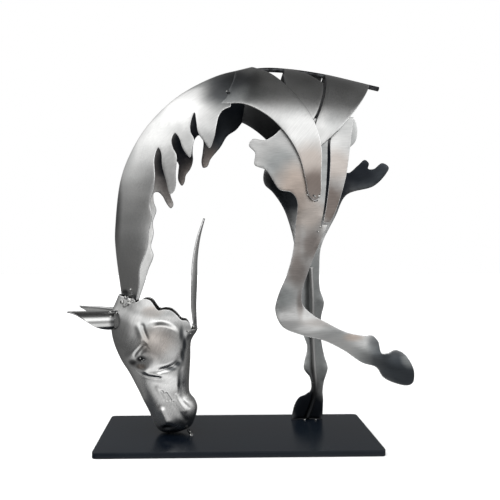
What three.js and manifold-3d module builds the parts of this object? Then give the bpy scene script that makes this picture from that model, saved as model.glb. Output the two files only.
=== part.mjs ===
// A grazing horse, front half, welded from bent steel sheets over a round bar, on a thin steel plate.
// Millimetres, +Z up. X runs from the nose towards the rump and Y across the horse, with the near
// side at -Y. The origin is the middle of the plate's underside. The horse has its own measures: its
// middle plane is at y 0, and the plate's top at `level`.
import * as THREE from 'three';
import { mergeVertices } from 'three/addons/utils/BufferGeometryUtils.js';
import Module from 'manifold-3d';

const wasm = await Module();
wasm.setup();

// Driving dimensions
const plate = { length: 304.8, width: 125, thickness: 6.35, corner: 5, bevel: 0.6 };
const sheet = 1.5; // thickness of every bent sheet
const gap = 0.3; // clearance kept between touching pieces
const bar = { radius: 2.5, below: 1.6, start: 0.706, end: [161.5, 392.9] }; // round bar along the spine
const besideBar = 1.4; // how far below the crest the sheets start that are welded to the bar's sides
const overlap = 2.1; // how far the shoulder band rides outside the sheets under it
const level = 4;
const ground = level + gap;
const stand = new THREE.Vector3(-1, 0, plate.thickness - level); // where the horse is set on the plate
const near = -1;
const far = 1;

// The crest, from the poll over the neck to the end of the back. Each station holds x, z, how far
// the flank has swung out from the middle plane, and how far below the crest it has done so.
const crestStations = [
  [-127.6, 150.5, 20.6, 34],
  [-135, 208, 25.5, 42],
  [-135.6, 238, 27.5, 45],
  [-130, 287, 32, 51],
  [-117, 322, 35.5, 55],
  [-97, 353, 38.5, 59],
  [-65, 383, 42, 63],
  [-23, 405.4, 45, 67],
  [15, 414, 47.5, 70],
  [50, 414.9, 49, 72],
  [98, 408.8, 49.5, 72],
  [150.5, 397, 50, 72],
];

const curveThrough = (points) => new THREE.CatmullRomCurve3(points, false, 'catmullrom', 0.5);

// Curves through stations: each pair of columns gives the x and z of one curve
const stationCurves = (stations, pairs) => pairs.map(([first, second]) =>
  curveThrough(stations.map((station) => new THREE.Vector3(station[first], 0, station[second]))));
const [crest, flankShape] = stationCurves(crestStations, [[0, 1], [2, 3]]);

// Solids

// A closed solid from vertices and triangles, turned so that its faces point out
function solidFrom(positions, triangles) {
  let volume = 0;
  const corner = (i) => new THREE.Vector3().fromArray(positions, 3 * i);
  for (let i = 0; i < triangles.length; i += 3) {
    const [a, b, c] = [corner(triangles[i]), corner(triangles[i + 1]), corner(triangles[i + 2])];
    volume += a.dot(b.cross(c));
  }
  const turned = Uint32Array.from(triangles);
  if (volume < 0) {
    for (let i = 0; i < turned.length; i += 3) {
      [turned[i], turned[i + 1]] = [turned[i + 1], turned[i]];
    }
  }
  const vertProperties = Float32Array.from(positions);
  return new wasm.Manifold(new wasm.Mesh({ numProp: 3, vertProperties, triVerts: turned }));
}

function solidFromGeometry(geometry) {
  geometry.deleteAttribute('normal');
  geometry.deleteAttribute('uv');
  const merged = mergeVertices(geometry, 1e-4);
  return solidFrom(merged.attributes.position.array, merged.index.array);
}

function geometryOf(solid) {
  const mesh = solid.getMesh();
  const geometry = new THREE.BufferGeometry();
  geometry.setAttribute('position', new THREE.BufferAttribute(mesh.vertProperties, 3));
  geometry.setIndex(new THREE.BufferAttribute(mesh.triVerts, 1));
  geometry.computeVertexNormals();
  return geometry;
}

// A sheet of even thickness about surface(a, b), with a and b from 0 to 1. It is lifted by `lift`
// along the surface's normal, which is taken on the side where outward(normal, point) is positive.
function sheetSolid(surface, rows, columns, outward, lift = 0) {
  const step = 1e-3;
  const positions = [];
  const triangles = [];
  for (const height of [lift - sheet / 2, lift + sheet / 2]) {
    for (let i = 0; i <= rows; i++) {
      for (let j = 0; j <= columns; j++) {
        const a = i / rows;
        const b = j / columns;
        const point = surface(a, b);
        const along = surface(Math.min(a + step, 1), b).sub(surface(Math.max(a - step, 0), b));
        const across = surface(a, Math.min(b + step, 1)).sub(surface(a, Math.max(b - step, 0)));
        const normal = along.cross(across).normalize();
        if (outward(normal, point) < 0) {
          normal.negate();
        }
        positions.push(...point.addScaledVector(normal, height).toArray());
      }
    }
  }
  const width = columns + 1;
  const other = (rows + 1) * width;
  const quad = (a, b, c, d) => triangles.push(a, b, c, a, c, d);
  for (let i = 0; i < rows; i++) {
    for (let j = 0; j < columns; j++) {
      const at = i * width + j;
      quad(at, at + width, at + width + 1, at + 1);
      quad(other + at, other + at + 1, other + at + width + 1, other + at + width);
    }
  }
  for (let i = 0; i < rows; i++) {
    const left = i * width;
    const right = left + columns;
    quad(left, other + left, other + left + width, left + width);
    quad(right, right + width, other + right + width, other + right);
  }
  for (let j = 0; j < columns; j++) {
    const top = rows * width + j;
    quad(j, j + 1, other + j + 1, other + j);
    quad(top, other + top, other + top + 1, top + 1);
  }
  return solidFrom(positions, triangles);
}

// A smooth line through [x, z] points, as a list of Vector2 about `step` apart. Two points make a
// straight line.
function smoothLine(points, step) {
  if (points.length === 2) {
    return points.map(([x, z]) => new THREE.Vector2(x, z));
  }
  const corners = points.map(([x, z]) => new THREE.Vector3(x, z, 0));
  const line = new THREE.CatmullRomCurve3(corners, false, 'centripetal');
  const spaced = line.getSpacedPoints(Math.round(line.getLength() / step));
  return spaced.map(({ x, y }) => new THREE.Vector2(x, y));
}

// A block right across the horse with the given side outline: smooth lines that meet at corners.
// The point that two lines share is kept once.
function block(lines, step, from = -75, to = 75) {
  const outline = lines.flatMap((line) => smoothLine(line, step));
  const isNew = (point, i) => i === 0 || point.distanceTo(outline[i - 1]) > 0.2;
  const shape = new THREE.Shape(outline.filter(isNew));
  const geometry = new THREE.ExtrudeGeometry(shape, { depth: to - from, bevelEnabled: false });
  const position = geometry.attributes.position;
  for (let i = 0; i < position.count; i++) {
    position.setXYZ(i, position.getX(i), position.getZ(i) + from, position.getY(i));
  }
  return solidFromGeometry(geometry);
}

// The flanks: neck, shoulder and back sheets swing out from the crest and then run flat

function flankPoint(u, below, side) {
  const t = crest.getUtoTmapping(u);
  const point = crest.getPoint(t);
  const along = crest.getTangent(t);
  const { x: out, z: down } = flankShape.getPoint(t);
  const reach = 1 - Math.min(below / down, 1);
  const swing = 2 * gap + out * Math.pow(1 - reach * reach, 0.8);
  return new THREE.Vector3(point.x + along.z * below, side * swing, point.z - along.x * below);
}

// Every flank sheet is bent on the same lattice, so that sheets that lap keep parallel faces:
// rows along the crest, and columns at these depths below it.
const latticeRows = 32;
const latticeDepths = [0, 4, 12, 24, 40, 62, 90, 130, 175];

function flankSheet({ rows: [first, last], columns, lines, step = 7, lift = 0, from = 0 }, side) {
  const surface = (a, b) => {
    const column = Math.min(Math.floor(b * columns), columns - 1);
    const part = b * columns - column;
    const below = latticeDepths[column] * (1 - part) + latticeDepths[column + 1] * part;
    return flankPoint((first + (last - first) * a) / latticeRows, Math.max(below, from), side);
  };
  const slab = sheetSolid(surface, last - first, columns, (normal) => normal.y * side, lift);
  return slab.intersect(block(lines, step));
}

const crestEnd = [
  [-140, 156],
  [-145, 210],
  [-145, 245],
  [-138, 295],
  [-122, 333],
  [-99, 365],
  [-66, 394],
  [-25, 416],
];

// Inner edge of each neck sheet from the shoulder down to the poll, with its three hanging locks
const neckNear = {
  rows: [0, 23],
  columns: 6,
  lines: [
    [[6, 424], [-8, 362.5]],
    [
      [-8, 362.5], [-15, 359.5], [-20, 353], [-23, 341], [-25, 330], [-30, 319], [-36, 326], [-42, 335],
      [-44, 347], [-46, 358], [-50, 347], [-50, 337], [-46.5, 329], [-48, 320], [-50.5, 309.5],
      [-58, 318], [-62, 329.5], [-67, 336], [-70.3, 330], [-69, 321], [-65, 312], [-66, 293], [-66, 281],
      [-68.5, 273.5], [-72.5, 271], [-77, 287], [-80.5, 301], [-81.7, 315], [-85, 321], [-89, 310],
      [-88.5, 290], [-90, 276],
      [-94, 262], [-92, 247], [-95, 234], [-97.5, 213], [-106, 190], [-107, 172], [-111, 153],
    ],
    [[-111, 153], [-140, 156]],
    [...crestEnd, [6, 424]],
  ],
};

const neckFar = {
  rows: [0, 25],
  columns: 6,
  lines: [
    [[6, 424], [12, 390], [9, 363.5]],
    [
      [9, 363.5], [2, 355], [-9, 347], [-17, 334], [-29, 319], [-33, 310], [-38, 308.5], [-40, 315],
      [-38.5, 328], [-38, 341], [-43, 347], [-48.5, 341], [-50.5, 328], [-50, 317], [-53, 307],
      [-58.5, 299], [-60, 291],
      [-63, 286.5], [-67.5, 293], [-67.5, 304], [-67, 312], [-71, 317], [-76, 308], [-79, 291], [-76.5, 275],
      [-73, 263.5], [-76, 259.5], [-81, 265], [-86, 274], [-91, 278.5], [-95.8, 277.5], [-96, 267],
      [-93, 257],
      [-97, 243], [-96, 229], [-99, 214], [-96, 204], [-102, 187], [-106, 172], [-110.5, 158], [-112.5, 152],
    ],
    [[-112.5, 152], [-140, 156]],
    [...crestEnd, [6, 424]],
  ],
};

const shoulderBand = {
  rows: [17, 30],
  columns: 8,
  lift: overlap,
  lines: [
    [
      [-18, 367], [5, 365], [24, 356], [41, 342], [54, 326], [64, 307], [70, 283], [73, 269], [79, 263],
      [85, 267], [86.5, 290], [86.5, 318], [80, 343], [67, 366], [50, 388.5], [36, 403], [22, 412], [10, 424],
    ],
    [[10, 424], [0, 424]],
    [[0, 424], [-5, 395], [-18, 367]],
  ],
};

const middleBand = {
  rows: [24, 29],
  columns: 6,
  from: besideBar,
  lines: [
    [[57, 424], [68, 424]],
    [[68, 424], [67, 413], [80, 404], [93.5, 391.5]],
    [[93.5, 391.5], [91.5, 380], [87, 366], [81.5, 353], [76, 345], [69, 341]],
    [[69, 341], [61, 352], [54, 370], [51, 390], [51, 403], [57, 424]],
  ],
};

// The far one runs on to the rear band at the ridge, where it closes the gap between the near ones
const middleBandFar = {
  ...middleBand,
  rows: [24, 30],
  lines: [
    [[57, 424], [99.4, 424]],
    [[99.4, 424], [97.3, 402], [93.3, 384.5], [90.5, 377]],
    [[90.5, 377], [87, 366], [81.5, 353], [76, 345], [69, 341]],
    middleBand.lines.at(-1),
  ],
};

const rearBand = {
  rows: [27, 32],
  columns: 7,
  from: besideBar,
  lines: [
    [[100, 424], [170, 424], [149.5, 396.5]],
    [[149.5, 396.5], [142, 384], [127, 363], [105, 337], [86, 319.5]],
    [[86, 319.5], [80, 325], [80.5, 343], [86, 358], [94, 382], [98, 402], [100, 424]],
  ],
};

// The limbs: sheets bent about a line down their middle. A station holds x, z, how far the sheet
// is drawn to the left and right of the line, how far its middle stands from the horse's middle
// plane, and how much nearer its edges are.

function limbSheet({ stations, rows, columns, lines, step = 8 }, side) {
  const [path, reach, dish] = stationCurves(stations, [[0, 1], [2, 3], [4, 5]]);
  const surface = (a, b) => {
    const t = path.getUtoTmapping(a);
    const point = path.getPoint(t);
    const along = path.getTangent(t);
    const { x: left, z: right } = reach.getPoint(t);
    const { x: out, z: drop } = dish.getPoint(t);
    const part = 2 * b - 1;
    const across = part * (part < 0 ? left : right);
    const y = side * (out - drop * part * part);
    return new THREE.Vector3(point.x - along.z * across, y, point.z + along.x * across);
  };
  const slab = sheetSolid(surface, rows, columns, (normal) => normal.y * side);
  return slab.intersect(block(lines, step));
}

const triceps = {
  rows: 6,
  columns: 3,
  stations: [
    [114, 372, 24, 20, 43, 3],
    [113, 350, 24, 20, 43, 3],
    [108, 320, 22, 17, 43, 3],
    [104, 290, 20, 16, 43, 3],
    [97, 258, 17, 15, 43, 2.5],
    [90, 234, 14, 15, 43, 2],
  ],
  lines: [
    [[106, 352], [122.5, 352]],
    [[122.5, 352], [120.5, 335], [118, 313], [115, 291], [110.5, 273], [104, 253], [97.5, 240]],
    [[97.5, 240], [90, 240]],
    [[90, 240], [93, 256], [96, 279], [97.5, 303], [97.5, 328], [99, 342], [106, 352]],
  ],
};

// The far one has a rounded ear at its upper corner that shows behind the near one
const tricepsFar = {
  ...triceps,
  columns: 4,
  stations: triceps.stations.map(([x, z, left, right, ...dish], i) =>
    [x, z, left, right + (i < 3 ? 22 : 0), ...dish]),
  lines: [
    [[106, 352], [121, 352]],
    [
      [121, 352], [128, 358], [134, 366], [141, 370], [146.5, 364], [148, 351], [145, 340], [136, 331],
      [125, 318], [117, 291], [111, 273], [104, 253], [97.5, 240],
    ],
    ...triceps.lines.slice(2),
  ],
};

const legNear = {
  rows: 18,
  step: 6,
  columns: 4,
  stations: [
    [78, 360, 70, 26, 46, 6],
    [78, 325, 74, 24, 46, 6],
    [78, 285, 66, 22, 46, 6],
    [77, 255, 24, 22, 46, 6],
    [72, 222, 20, 19, 46, 7],
    [62, 188, 17, 17, 46, 7],
    [54, 158, 17, 18, 46, 7],
    [58, 137, 22, 21, 46, 7],
    [78, 128, 20, 17, 46, 7],
    [103, 120, 15, 17, 46, 7],
    [128, 107, 18, 17, 46, 7],
    [146, 97, 18, 16, 46, 7],
    [166, 88, 22, 21, 46, 6],
    [197, 75, 24, 24, 46, 5],
  ],
  lines: [
    [[97, 350], [95, 330], [94.5, 300], [93, 274], [90.5, 252], [88, 238.8]],
    [[88, 238.8], [96, 238.8]],
    [
      [96, 238.8], [86, 217], [75, 190], [67.5, 165], [69, 153], [80, 142.5], [97, 133], [116, 124],
      [127, 121.3], [137, 119.8], [144.5, 119.8], [150.5, 113.5], [153, 102], [159, 101.5], [168.5, 104.8],
      [178, 100.5], [186.5, 87], [188, 78], [186.5, 70], [181, 67], [169, 68.8], [155, 75.5], [147, 86.5],
      [132, 91.5], [112, 105], [89, 116], [66, 121.7], [47, 130.3], [39.5, 147], [42.7, 164], [51.3, 185],
      [58, 210], [60.5, 238], [62, 263], [56, 272], [44, 275], [36, 286], [29, 296], [17.5, 301.5],
      [18, 314], [11.5, 322], [15, 328.5], [29, 327.5], [43, 337], [52, 350],
    ],
    [[52, 350], [97, 350]],
  ],
};

const legFar = {
  rows: 18,
  columns: 4,
  stations: [
    [84, 352, 54, 104, 37, 4],
    [84, 318, 54, 104, 37, 4],
    [86, 280, 56, 104, 37, 4],
    [88, 248, 34, 48, 38, 5],
    [88, 216, 24, 24, 39, 6],
    [93, 180, 17, 18, 40, 7],
    [97, 146, 15, 15, 42, 7],
    [95, 112, 14, 15, 43.5, 7],
    [97, 78, 17, 17, 44.5, 7],
    [98, 54, 16, 16, 45, 7],
    [93, 34, 22, 22, 45.5, 7],
    [88, 1, 24, 26, 45.5, 8],
  ],
  lines: [
    [[60, 348], [110, 348]],
    [
      [110, 348], [122, 326], [135, 302.5], [147, 311], [155.5, 318], [160.5, 313.5], [159.5, 307.5],
      [166, 307], [176, 314], [184, 309], [180, 300], [166, 286.5], [134, 276], [121, 251], [104, 215],
      [102, 190], [103, 164], [108, 147], [105, 128], [105, 104], [109, 82], [113, 67], [109, 50], [107.5, 38],
      [108, 27], [107, ground],
    ],
    [[107, ground], [68.5, ground]],
    [
      [68.5, ground], [73.5, 23], [79.5, 31], [86.5, 33.6], [93, 39.5], [92, 54], [84, 66.5], [88.3, 92],
      [83, 108], [77, 138],
      [75, 165], [74, 190], [71.5, 216], [65, 242], [57, 262], [45, 279], [35, 289], [35, 305], [60, 348],
    ],
  ],
};

// The head: a pressed shell, open at the throat between its scalloped cheeks

// Sections from the poll to the lips: front x and z, jaw x and z, half width
const headStations = [
  [-129, 168, -46, 142, 23],
  [-136, 152, -43.5, 123, 25],
  [-141.3, 137, -51, 108, 26.5],
  [-139, 112, -52, 88, 28],
  [-130.5, 90, -53, 70, 26.5],
  [-121, 74, -53.5, 56, 22],
  [-112.6, 58, -52.3, 47.5, 20],
  [-105, 42, -46.8, 40.5, 18.8],
  [-98.4, 29, -44.2, 32.5, 18.2],
  [-93.6, 16.7, -46, 23, 16.8],
  [-87.5, 7.8, -50.5, 12.5, 13],
  [-79.5, 4.8, -60, 7, 7],
];
const roundness = 2.4; // 2 is an ellipse, more is squarer
const cheek = { x: -83, z: 107, radius: 25, rise: 2.2 };
const eye = { x: -103, z: 93, radius: 5.5, rise: 2.6, depth: 2.8 };
const nostril = { x: -78, z: 21, radius: 5, depth: 2.4 };
const brow = { line: [[-101, 113], [-112, 99], [-118, 88]], width: 4, rise: 2 };
const faceCrest = { line: [[-109, 79], [-98, 74], [-84, 72]], width: 3.5, rise: 1.4 };

const bump = (distance, width) => Math.exp(-((distance / width) ** 2));

function distanceToLine(points, x, z) {
  const spot = new THREE.Vector3(x, 0, z);
  const nearest = new THREE.Vector3();
  let best = Infinity;
  for (let i = 1; i < points.length; i++) {
    const [start, end] = [points[i - 1], points[i]].map(([px, pz]) => new THREE.Vector3(px, 0, pz));
    new THREE.Line3(start, end).closestPointToPoint(spot, true, nearest);
    best = Math.min(best, nearest.distanceTo(spot));
  }
  return best;
}

function headRelief(x, z) {
  const fromCheek = Math.hypot(x - cheek.x, z - cheek.z);
  const fromEye = Math.hypot(x - eye.x, z - eye.z);
  const fromNostril = Math.hypot(x - nostril.x, z - nostril.z);
  const disc = 1 - THREE.MathUtils.smoothstep(fromCheek, cheek.radius - 2, cheek.radius + 2);
  const ball = eye.rise * bump(fromEye, eye.radius);
  const socket = eye.depth * bump(fromEye, 1.8 * eye.radius);
  const browRidge = brow.rise * bump(distanceToLine(brow.line, x, z), brow.width);
  const crestRidge = faceCrest.rise * bump(distanceToLine(faceCrest.line, x, z), faceCrest.width);
  const hollow = nostril.depth * bump(fromNostril, nostril.radius);
  return cheek.rise * disc + ball - socket + browRidge + crestRidge - hollow;
}

function headLoft(grow) {
  const [rows, around] = [18, 20];
  const [front, jaw, width] = stationCurves(headStations, [[0, 1], [2, 3], [4, 4]]);
  const positions = [];
  const triangles = [];
  const round = (value) => Math.sign(value) * Math.pow(Math.abs(value), 2 / roundness);
  for (let i = 0; i <= rows; i++) {
    const t = i / rows;
    const [top, bottom] = [front.getPoint(t), jaw.getPoint(t)];
    const middle = top.clone().add(bottom).multiplyScalar(0.5);
    const half = top.clone().sub(middle);
    const stretch = 1 + grow / half.length();
    const lips = grow * Math.max(0, (t - 0.85) / 0.15);
    for (let j = 0; j < around; j++) {
      const angle = (2 * Math.PI * j) / around;
      const point = middle.clone().addScaledVector(half, stretch * round(Math.cos(angle)));
      const side = round(Math.sin(angle));
      const relief = headRelief(point.x, point.z) * Math.pow(Math.abs(side), 3);
      point.y = side * (width.getPoint(t).x + grow + relief);
      point.z -= lips;
      positions.push(...point.toArray());
    }
  }
  const ringStart = (i) => i * around;
  for (let i = 0; i < rows; i++) {
    for (let j = 0; j < around; j++) {
      const next = (j + 1) % around;
      const [a, b] = [ringStart(i) + j, ringStart(i) + next];
      const [c, d] = [ringStart(i + 1) + next, ringStart(i + 1) + j];
      triangles.push(a, b, c, a, c, d);
    }
  }
  for (let j = 1; j < around - 1; j++) {
    triangles.push(0, j + 1, j);
    triangles.push(ringStart(rows), ringStart(rows) + j, ringStart(rows) + j + 1);
  }
  return solidFrom(positions, triangles);
}

// What is cut off above the cheeks: the scallops of one side
function throatCut(side, shiftX, shiftZ) {
  const scallop = [
    [-111, 153.5], [-103, 158], [-95, 156.5], [-90, 150], [-86, 145.5], [-80, 146.5], [-73, 145.5],
    [-66, 140], [-61, 134.5], [-55.5, 133.5], [-51.5, 128.5], [-50, 122.8],
  ].map(([x, z]) => [x + shiftX, z + shiftZ]);
  const jaw = [scallop.at(-1), [-35, 122.8]];
  const lines = [[[-160, 167], [-112, 157]], scallop, jaw, [[-35, 190], [-160, 190]]];
  const [from, to] = side === near ? [-60, 0] : [-0.001, 60];
  return block(lines, 6, from, to);
}

function head() {
  const shell = headLoft(0).subtract(headLoft(-sheet));
  return shell.subtract(throatCut(near, 0, 0)).subtract(throatCut(far, -1.5, -2.5));
}

// An ear: a sheet rolled round a level line into a half pipe that opens towards the other ear. It
// is cut slantwise, so that it runs out to a tip along its upper edge. Angles are in degrees from
// straight up, at the line's four points.
const ear = {
  line: [[-134, 133.8, 14], [-150, 133.9, 19], [-167, 134.2, 24], [-183.5, 134.6, 28.3]],
  radius: 9.9,
  upper: [-25, -20, -12, -3],
  lower: { [near]: [185, 138, 68, 6], [far]: [185, 150, 112, 40] },
};

function earSheet(side) {
  const line = curveThrough(ear.line.map(([x, z, y]) => new THREE.Vector3(x, side * y, z)));
  const lower = ear.lower[side];
  const edges = curveThrough(ear.upper.map((upper, i) => new THREE.Vector3(upper, lower[i], 0)));
  const surface = (a, b) => {
    const edge = edges.getPoint(a);
    const angle = THREE.MathUtils.degToRad(edge.x * (1 - b) + edge.y * b);
    const point = line.getPoint(a);
    point.z += ear.radius * Math.cos(angle);
    point.y += side * ear.radius * Math.sin(angle);
    return point;
  };
  const [base, tip] = [ear.line.at(0)[0], ear.line.at(-1)[0]];
  const fromLine = (normal, point) => {
    const middle = line.getPoint((point.x - base) / (tip - base));
    return normal.dot(point.clone().sub(middle));
  };
  return sheetSolid(surface, 8, 6, fromLine).subtract(headLoft(gap));
}

// The throat strip: a leaf of sheet that stands on the throat and curls forward at its tip
const strip = {
  line: [[-48.2, 124.4], [-50.7, 148], [-50.5, 175], [-49, 200], [-44.5, 224], [-37, 246.5]],
  halfWidth: [6, 9.5, 11, 9, 6, 2],
  dish: 5.6,
};

function throatStrip() {
  const line = curveThrough(strip.line.map(([x, z]) => new THREE.Vector3(x, 0, z)));
  const widths = curveThrough(strip.halfWidth.map((width) => new THREE.Vector3(width, 0, 0)));
  const surface = (a, b) => {
    const point = line.getPoint(a);
    const width = widths.getPoint(a).x;
    const part = 2 * b - 1;
    const bulge = strip.dish * (width / Math.max(...strip.halfWidth)) * (1 - part * part);
    return new THREE.Vector3(point.x + bulge, part * width, point.z);
  };
  return sheetSolid(surface, 9, 4, (normal) => normal.x);
}

// Bars, post and plate

function rod(points, radius, steps) {
  const path = new THREE.CatmullRomCurve3(points.map(([x, y, z]) => new THREE.Vector3(x, y, z)));
  const section = new THREE.Shape().absarc(0, 0, radius, 0, 2 * Math.PI);
  const settings = { extrudePath: path, steps, curveSegments: 4, bevelEnabled: false };
  return solidFromGeometry(new THREE.ExtrudeGeometry(section, settings));
}

function spineBar() {
  const count = 7;
  const points = [];
  for (let i = 0; i < count; i++) {
    const spot = flankPoint(bar.start + ((1 - bar.start) * i) / (count - 1), bar.below, near);
    points.push([spot.x, 0, spot.z]);
  }
  points.push([bar.end[0], 0, bar.end[1]]);
  return rod(points, bar.radius, 9);
}

function basePlate() {
  const { length, width, thickness, corner, bevel } = plate;
  const [x, y, r] = [length / 2 - bevel, width / 2 - bevel, corner - bevel];
  const outline = new THREE.Shape();
  outline.absarc(x - r, y - r, r, 0, Math.PI / 2);
  outline.absarc(r - x, y - r, r, Math.PI / 2, Math.PI);
  outline.absarc(r - x, r - y, r, Math.PI, 1.5 * Math.PI);
  outline.absarc(x - r, r - y, r, 1.5 * Math.PI, 2 * Math.PI);
  const geometry = new THREE.ExtrudeGeometry(outline, {
    depth: thickness - 2 * bevel,
    bevelThickness: bevel,
    bevelSize: bevel,
    bevelSegments: 1,
    curveSegments: 3,
  });
  geometry.translate(0, 0, bevel);
  return solidFromGeometry(geometry);
}

const legRod = [
  [91, 33.5, 190], [93, 34.5, 150], [94, 37, 110], [96, 38.5, 75], [98, 39.5, 48], [97, 41, 33],
  [93, 41.3, 18], [88, 41.3, ground + 1],
];
const chinPost = [[-50.6, -11, ground + 1.3], [-52.6, -9.5, 7.6], [-54.3, -8, 9.4]];

// The horse

const steel = new THREE.MeshStandardMaterial({ color: 0xa9a9a5, roughness: 0.42, metalness: 1 });
const darkSteel = new THREE.MeshStandardMaterial({ color: 0x23272b, roughness: 0.4, metalness: 0.6 });

const horse = new THREE.Group();
function add(name, solid, material, at = stand) {
  const mesh = new THREE.Mesh(geometryOf(solid).translate(...at.toArray()), material);
  mesh.name = name;
  horse.add(mesh);
}

add('base_plate', basePlate(), darkSteel, new THREE.Vector3());
add('head', head(), steel);
add('throat_strip', throatStrip(), steel);
add('chin_post', rod(chinPost, 1.8, 2), darkSteel);
add('spine_bar', spineBar(), steel);
add('neck_near', flankSheet(neckNear, near), steel);
add('neck_far', flankSheet(neckFar, far), steel);
add('leg_near', limbSheet(legNear, near), steel);
add('leg_far', limbSheet(legFar, far), steel);
add('leg_rod', rod(legRod, bar.radius, 8), steel);
for (const [suffix, side] of [['near', near], ['far', far]]) {
  add(`ear_${suffix}`, earSheet(side), steel);
  add(`shoulder_band_${suffix}`, flankSheet(shoulderBand, side), steel);
  add(`middle_band_${suffix}`, flankSheet(side === near ? middleBand : middleBandFar, side), steel);
  add(`rear_band_${suffix}`, flankSheet(rearBand, side), steel);
  add(`triceps_${suffix}`, limbSheet(side === near ? triceps : tricepsFar, side), steel);
}

export default horse;
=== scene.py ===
import math

import bmesh
import bpy
import numpy as np
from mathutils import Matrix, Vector
from mathutils.bvhtree import BVHTree
from mathutils.geometry import delaunay_2d_cdt


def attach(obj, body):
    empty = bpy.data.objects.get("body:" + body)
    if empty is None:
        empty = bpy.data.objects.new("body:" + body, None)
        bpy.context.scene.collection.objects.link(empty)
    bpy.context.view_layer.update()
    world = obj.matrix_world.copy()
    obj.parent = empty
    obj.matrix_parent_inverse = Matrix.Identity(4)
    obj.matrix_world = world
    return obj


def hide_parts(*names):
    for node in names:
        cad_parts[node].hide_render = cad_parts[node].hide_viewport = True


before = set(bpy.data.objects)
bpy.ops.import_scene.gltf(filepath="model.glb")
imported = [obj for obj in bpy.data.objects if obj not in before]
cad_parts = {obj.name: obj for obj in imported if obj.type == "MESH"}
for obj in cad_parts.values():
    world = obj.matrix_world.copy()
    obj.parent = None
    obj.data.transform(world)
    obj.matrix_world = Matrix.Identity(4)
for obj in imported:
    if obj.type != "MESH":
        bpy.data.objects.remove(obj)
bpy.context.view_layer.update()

mm = 0.001
near, far = -1, 1

common = {
    "sheet": 1.5,            # thickness of every bent sheet
    "rimRadius": 0.5,        # rounding of the cut edges
    "rimAngles": (60, 30, 0, 0, -30, -60),
    "clearance": 0.3,        # gap between touching pieces
    "edgeStep": 1.5,         # spacing of points along a cut edge
    "gridStep": 3.2,         # spacing of points inside a sheet
    "stand": (-1, 0, 2.35),  # how far the horse is moved to stand on the plate
}
print("frame loaded")


def catmull(points, at):
    # uniform spline through points, at in 0..1, for arrays of any width
    points = np.asarray(points, float)
    ends = np.vstack([2 * points[0] - points[1], points, 2 * points[-1] - points[-2]])
    at = np.clip(np.atleast_1d(at), 0, 1) * (len(points) - 1)
    cell = np.minimum(at.astype(int), len(points) - 2)
    t = (at - cell)[:, None]
    a, b, c, d = (ends[cell + i] for i in range(4))
    return b + 0.5 * t * (c - a + t * (2 * a - 5 * b + 4 * c - d + t * (3 * (b - c) + d - a)))


spanSamples = 24  # between two given points of a smooth line


def smoothLine(points, step):
    # centripetal spline through (x, z) points, resampled evenly; two points stay a straight line
    points = np.asarray(points, float)
    if len(points) == 2:
        count = max(int(np.linalg.norm(points[1] - points[0]) / step), 1)
        return points[0] + np.linspace(0, 1, count + 1)[:, None] * (points[1] - points[0])
    ends = np.vstack([2 * points[0] - points[1], points, 2 * points[-1] - points[-2]])
    knots = np.concatenate([[0], np.cumsum(np.sqrt(np.linalg.norm(np.diff(ends, axis=0), axis=1)))])
    dense = []
    for i in range(len(points) - 1):
        p0, p1, p2, p3 = ends[i:i + 4]
        k0, k1, k2, k3 = knots[i:i + 4]
        k = np.linspace(k1, k2, spanSamples, endpoint=i == len(points) - 2)[:, None]
        a1 = (k1 - k) / (k1 - k0) * p0 + (k - k0) / (k1 - k0) * p1
        a2 = (k2 - k) / (k2 - k1) * p1 + (k - k1) / (k2 - k1) * p2
        a3 = (k3 - k) / (k3 - k2) * p2 + (k - k2) / (k3 - k2) * p3
        b1 = (k2 - k) / (k2 - k0) * a1 + (k - k0) / (k2 - k0) * a2
        b2 = (k3 - k) / (k3 - k1) * a2 + (k - k1) / (k3 - k1) * a3
        dense.append((k2 - k) / (k2 - k1) * b1 + (k - k1) / (k2 - k1) * b2)
    return evenly(np.vstack(dense), step)


def evenly(line, step):
    length = distances(line)
    at = np.linspace(0, length[-1], max(int(round(length[-1] / step)), 2) + 1)
    return np.column_stack([np.interp(at, length, line[:, k]) for k in range(line.shape[1])])


def outlineOf(lines, step):
    # one closed outline from smooth lines that meet at corners
    points = np.vstack([smoothLine(line, step) for line in lines])
    return tidyLoop(points, 0.3 * step)


def tidyLoop(points, least):
    kept = [points[0]]
    for point in points[1:]:
        if np.linalg.norm(point - kept[-1]) > least:
            kept.append(point)
    if np.linalg.norm(kept[0] - kept[-1]) <= least:
        kept.pop()
    return np.array(kept)


waveMix = {"octaves": 3, "perOctave": 5, "finer": 1.8, "fainter": 0.55, "total": 4}


def waves(points, size, seed):
    # smooth random waves, about -1..1 and the same on every run, at positions in millimetres
    rng = np.random.default_rng(seed)
    total = np.zeros(len(points))
    for octave in range(waveMix["octaves"]):
        for _ in range(waveMix["perOctave"]):
            direction = rng.normal(size=points.shape[1])
            direction *= 2 * math.pi * (waveMix["finer"] ** octave) / (size * np.linalg.norm(direction))
            total += np.sin(points @ direction + rng.uniform(0, 2 * math.pi)) * waveMix["fainter"] ** octave
    return total / waveMix["total"]


def distances(line):
    # distance along a line of points, at each of them
    return np.concatenate([[0], np.cumsum(np.linalg.norm(np.diff(line, axis=0), axis=1))])


def unit(vectors, least=1e-12):
    return vectors / np.maximum(np.linalg.norm(vectors, axis=1), least)[:, None]


def ringFaces(rings, around):
    # the skin of a stack of rings that have the same number of points
    return [(i * around + j, i * around + k, (i + 1) * around + k, (i + 1) * around + j)
            for i in range(rings - 1) for j, k in zip(range(around), [*range(1, around), 0])]


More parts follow.
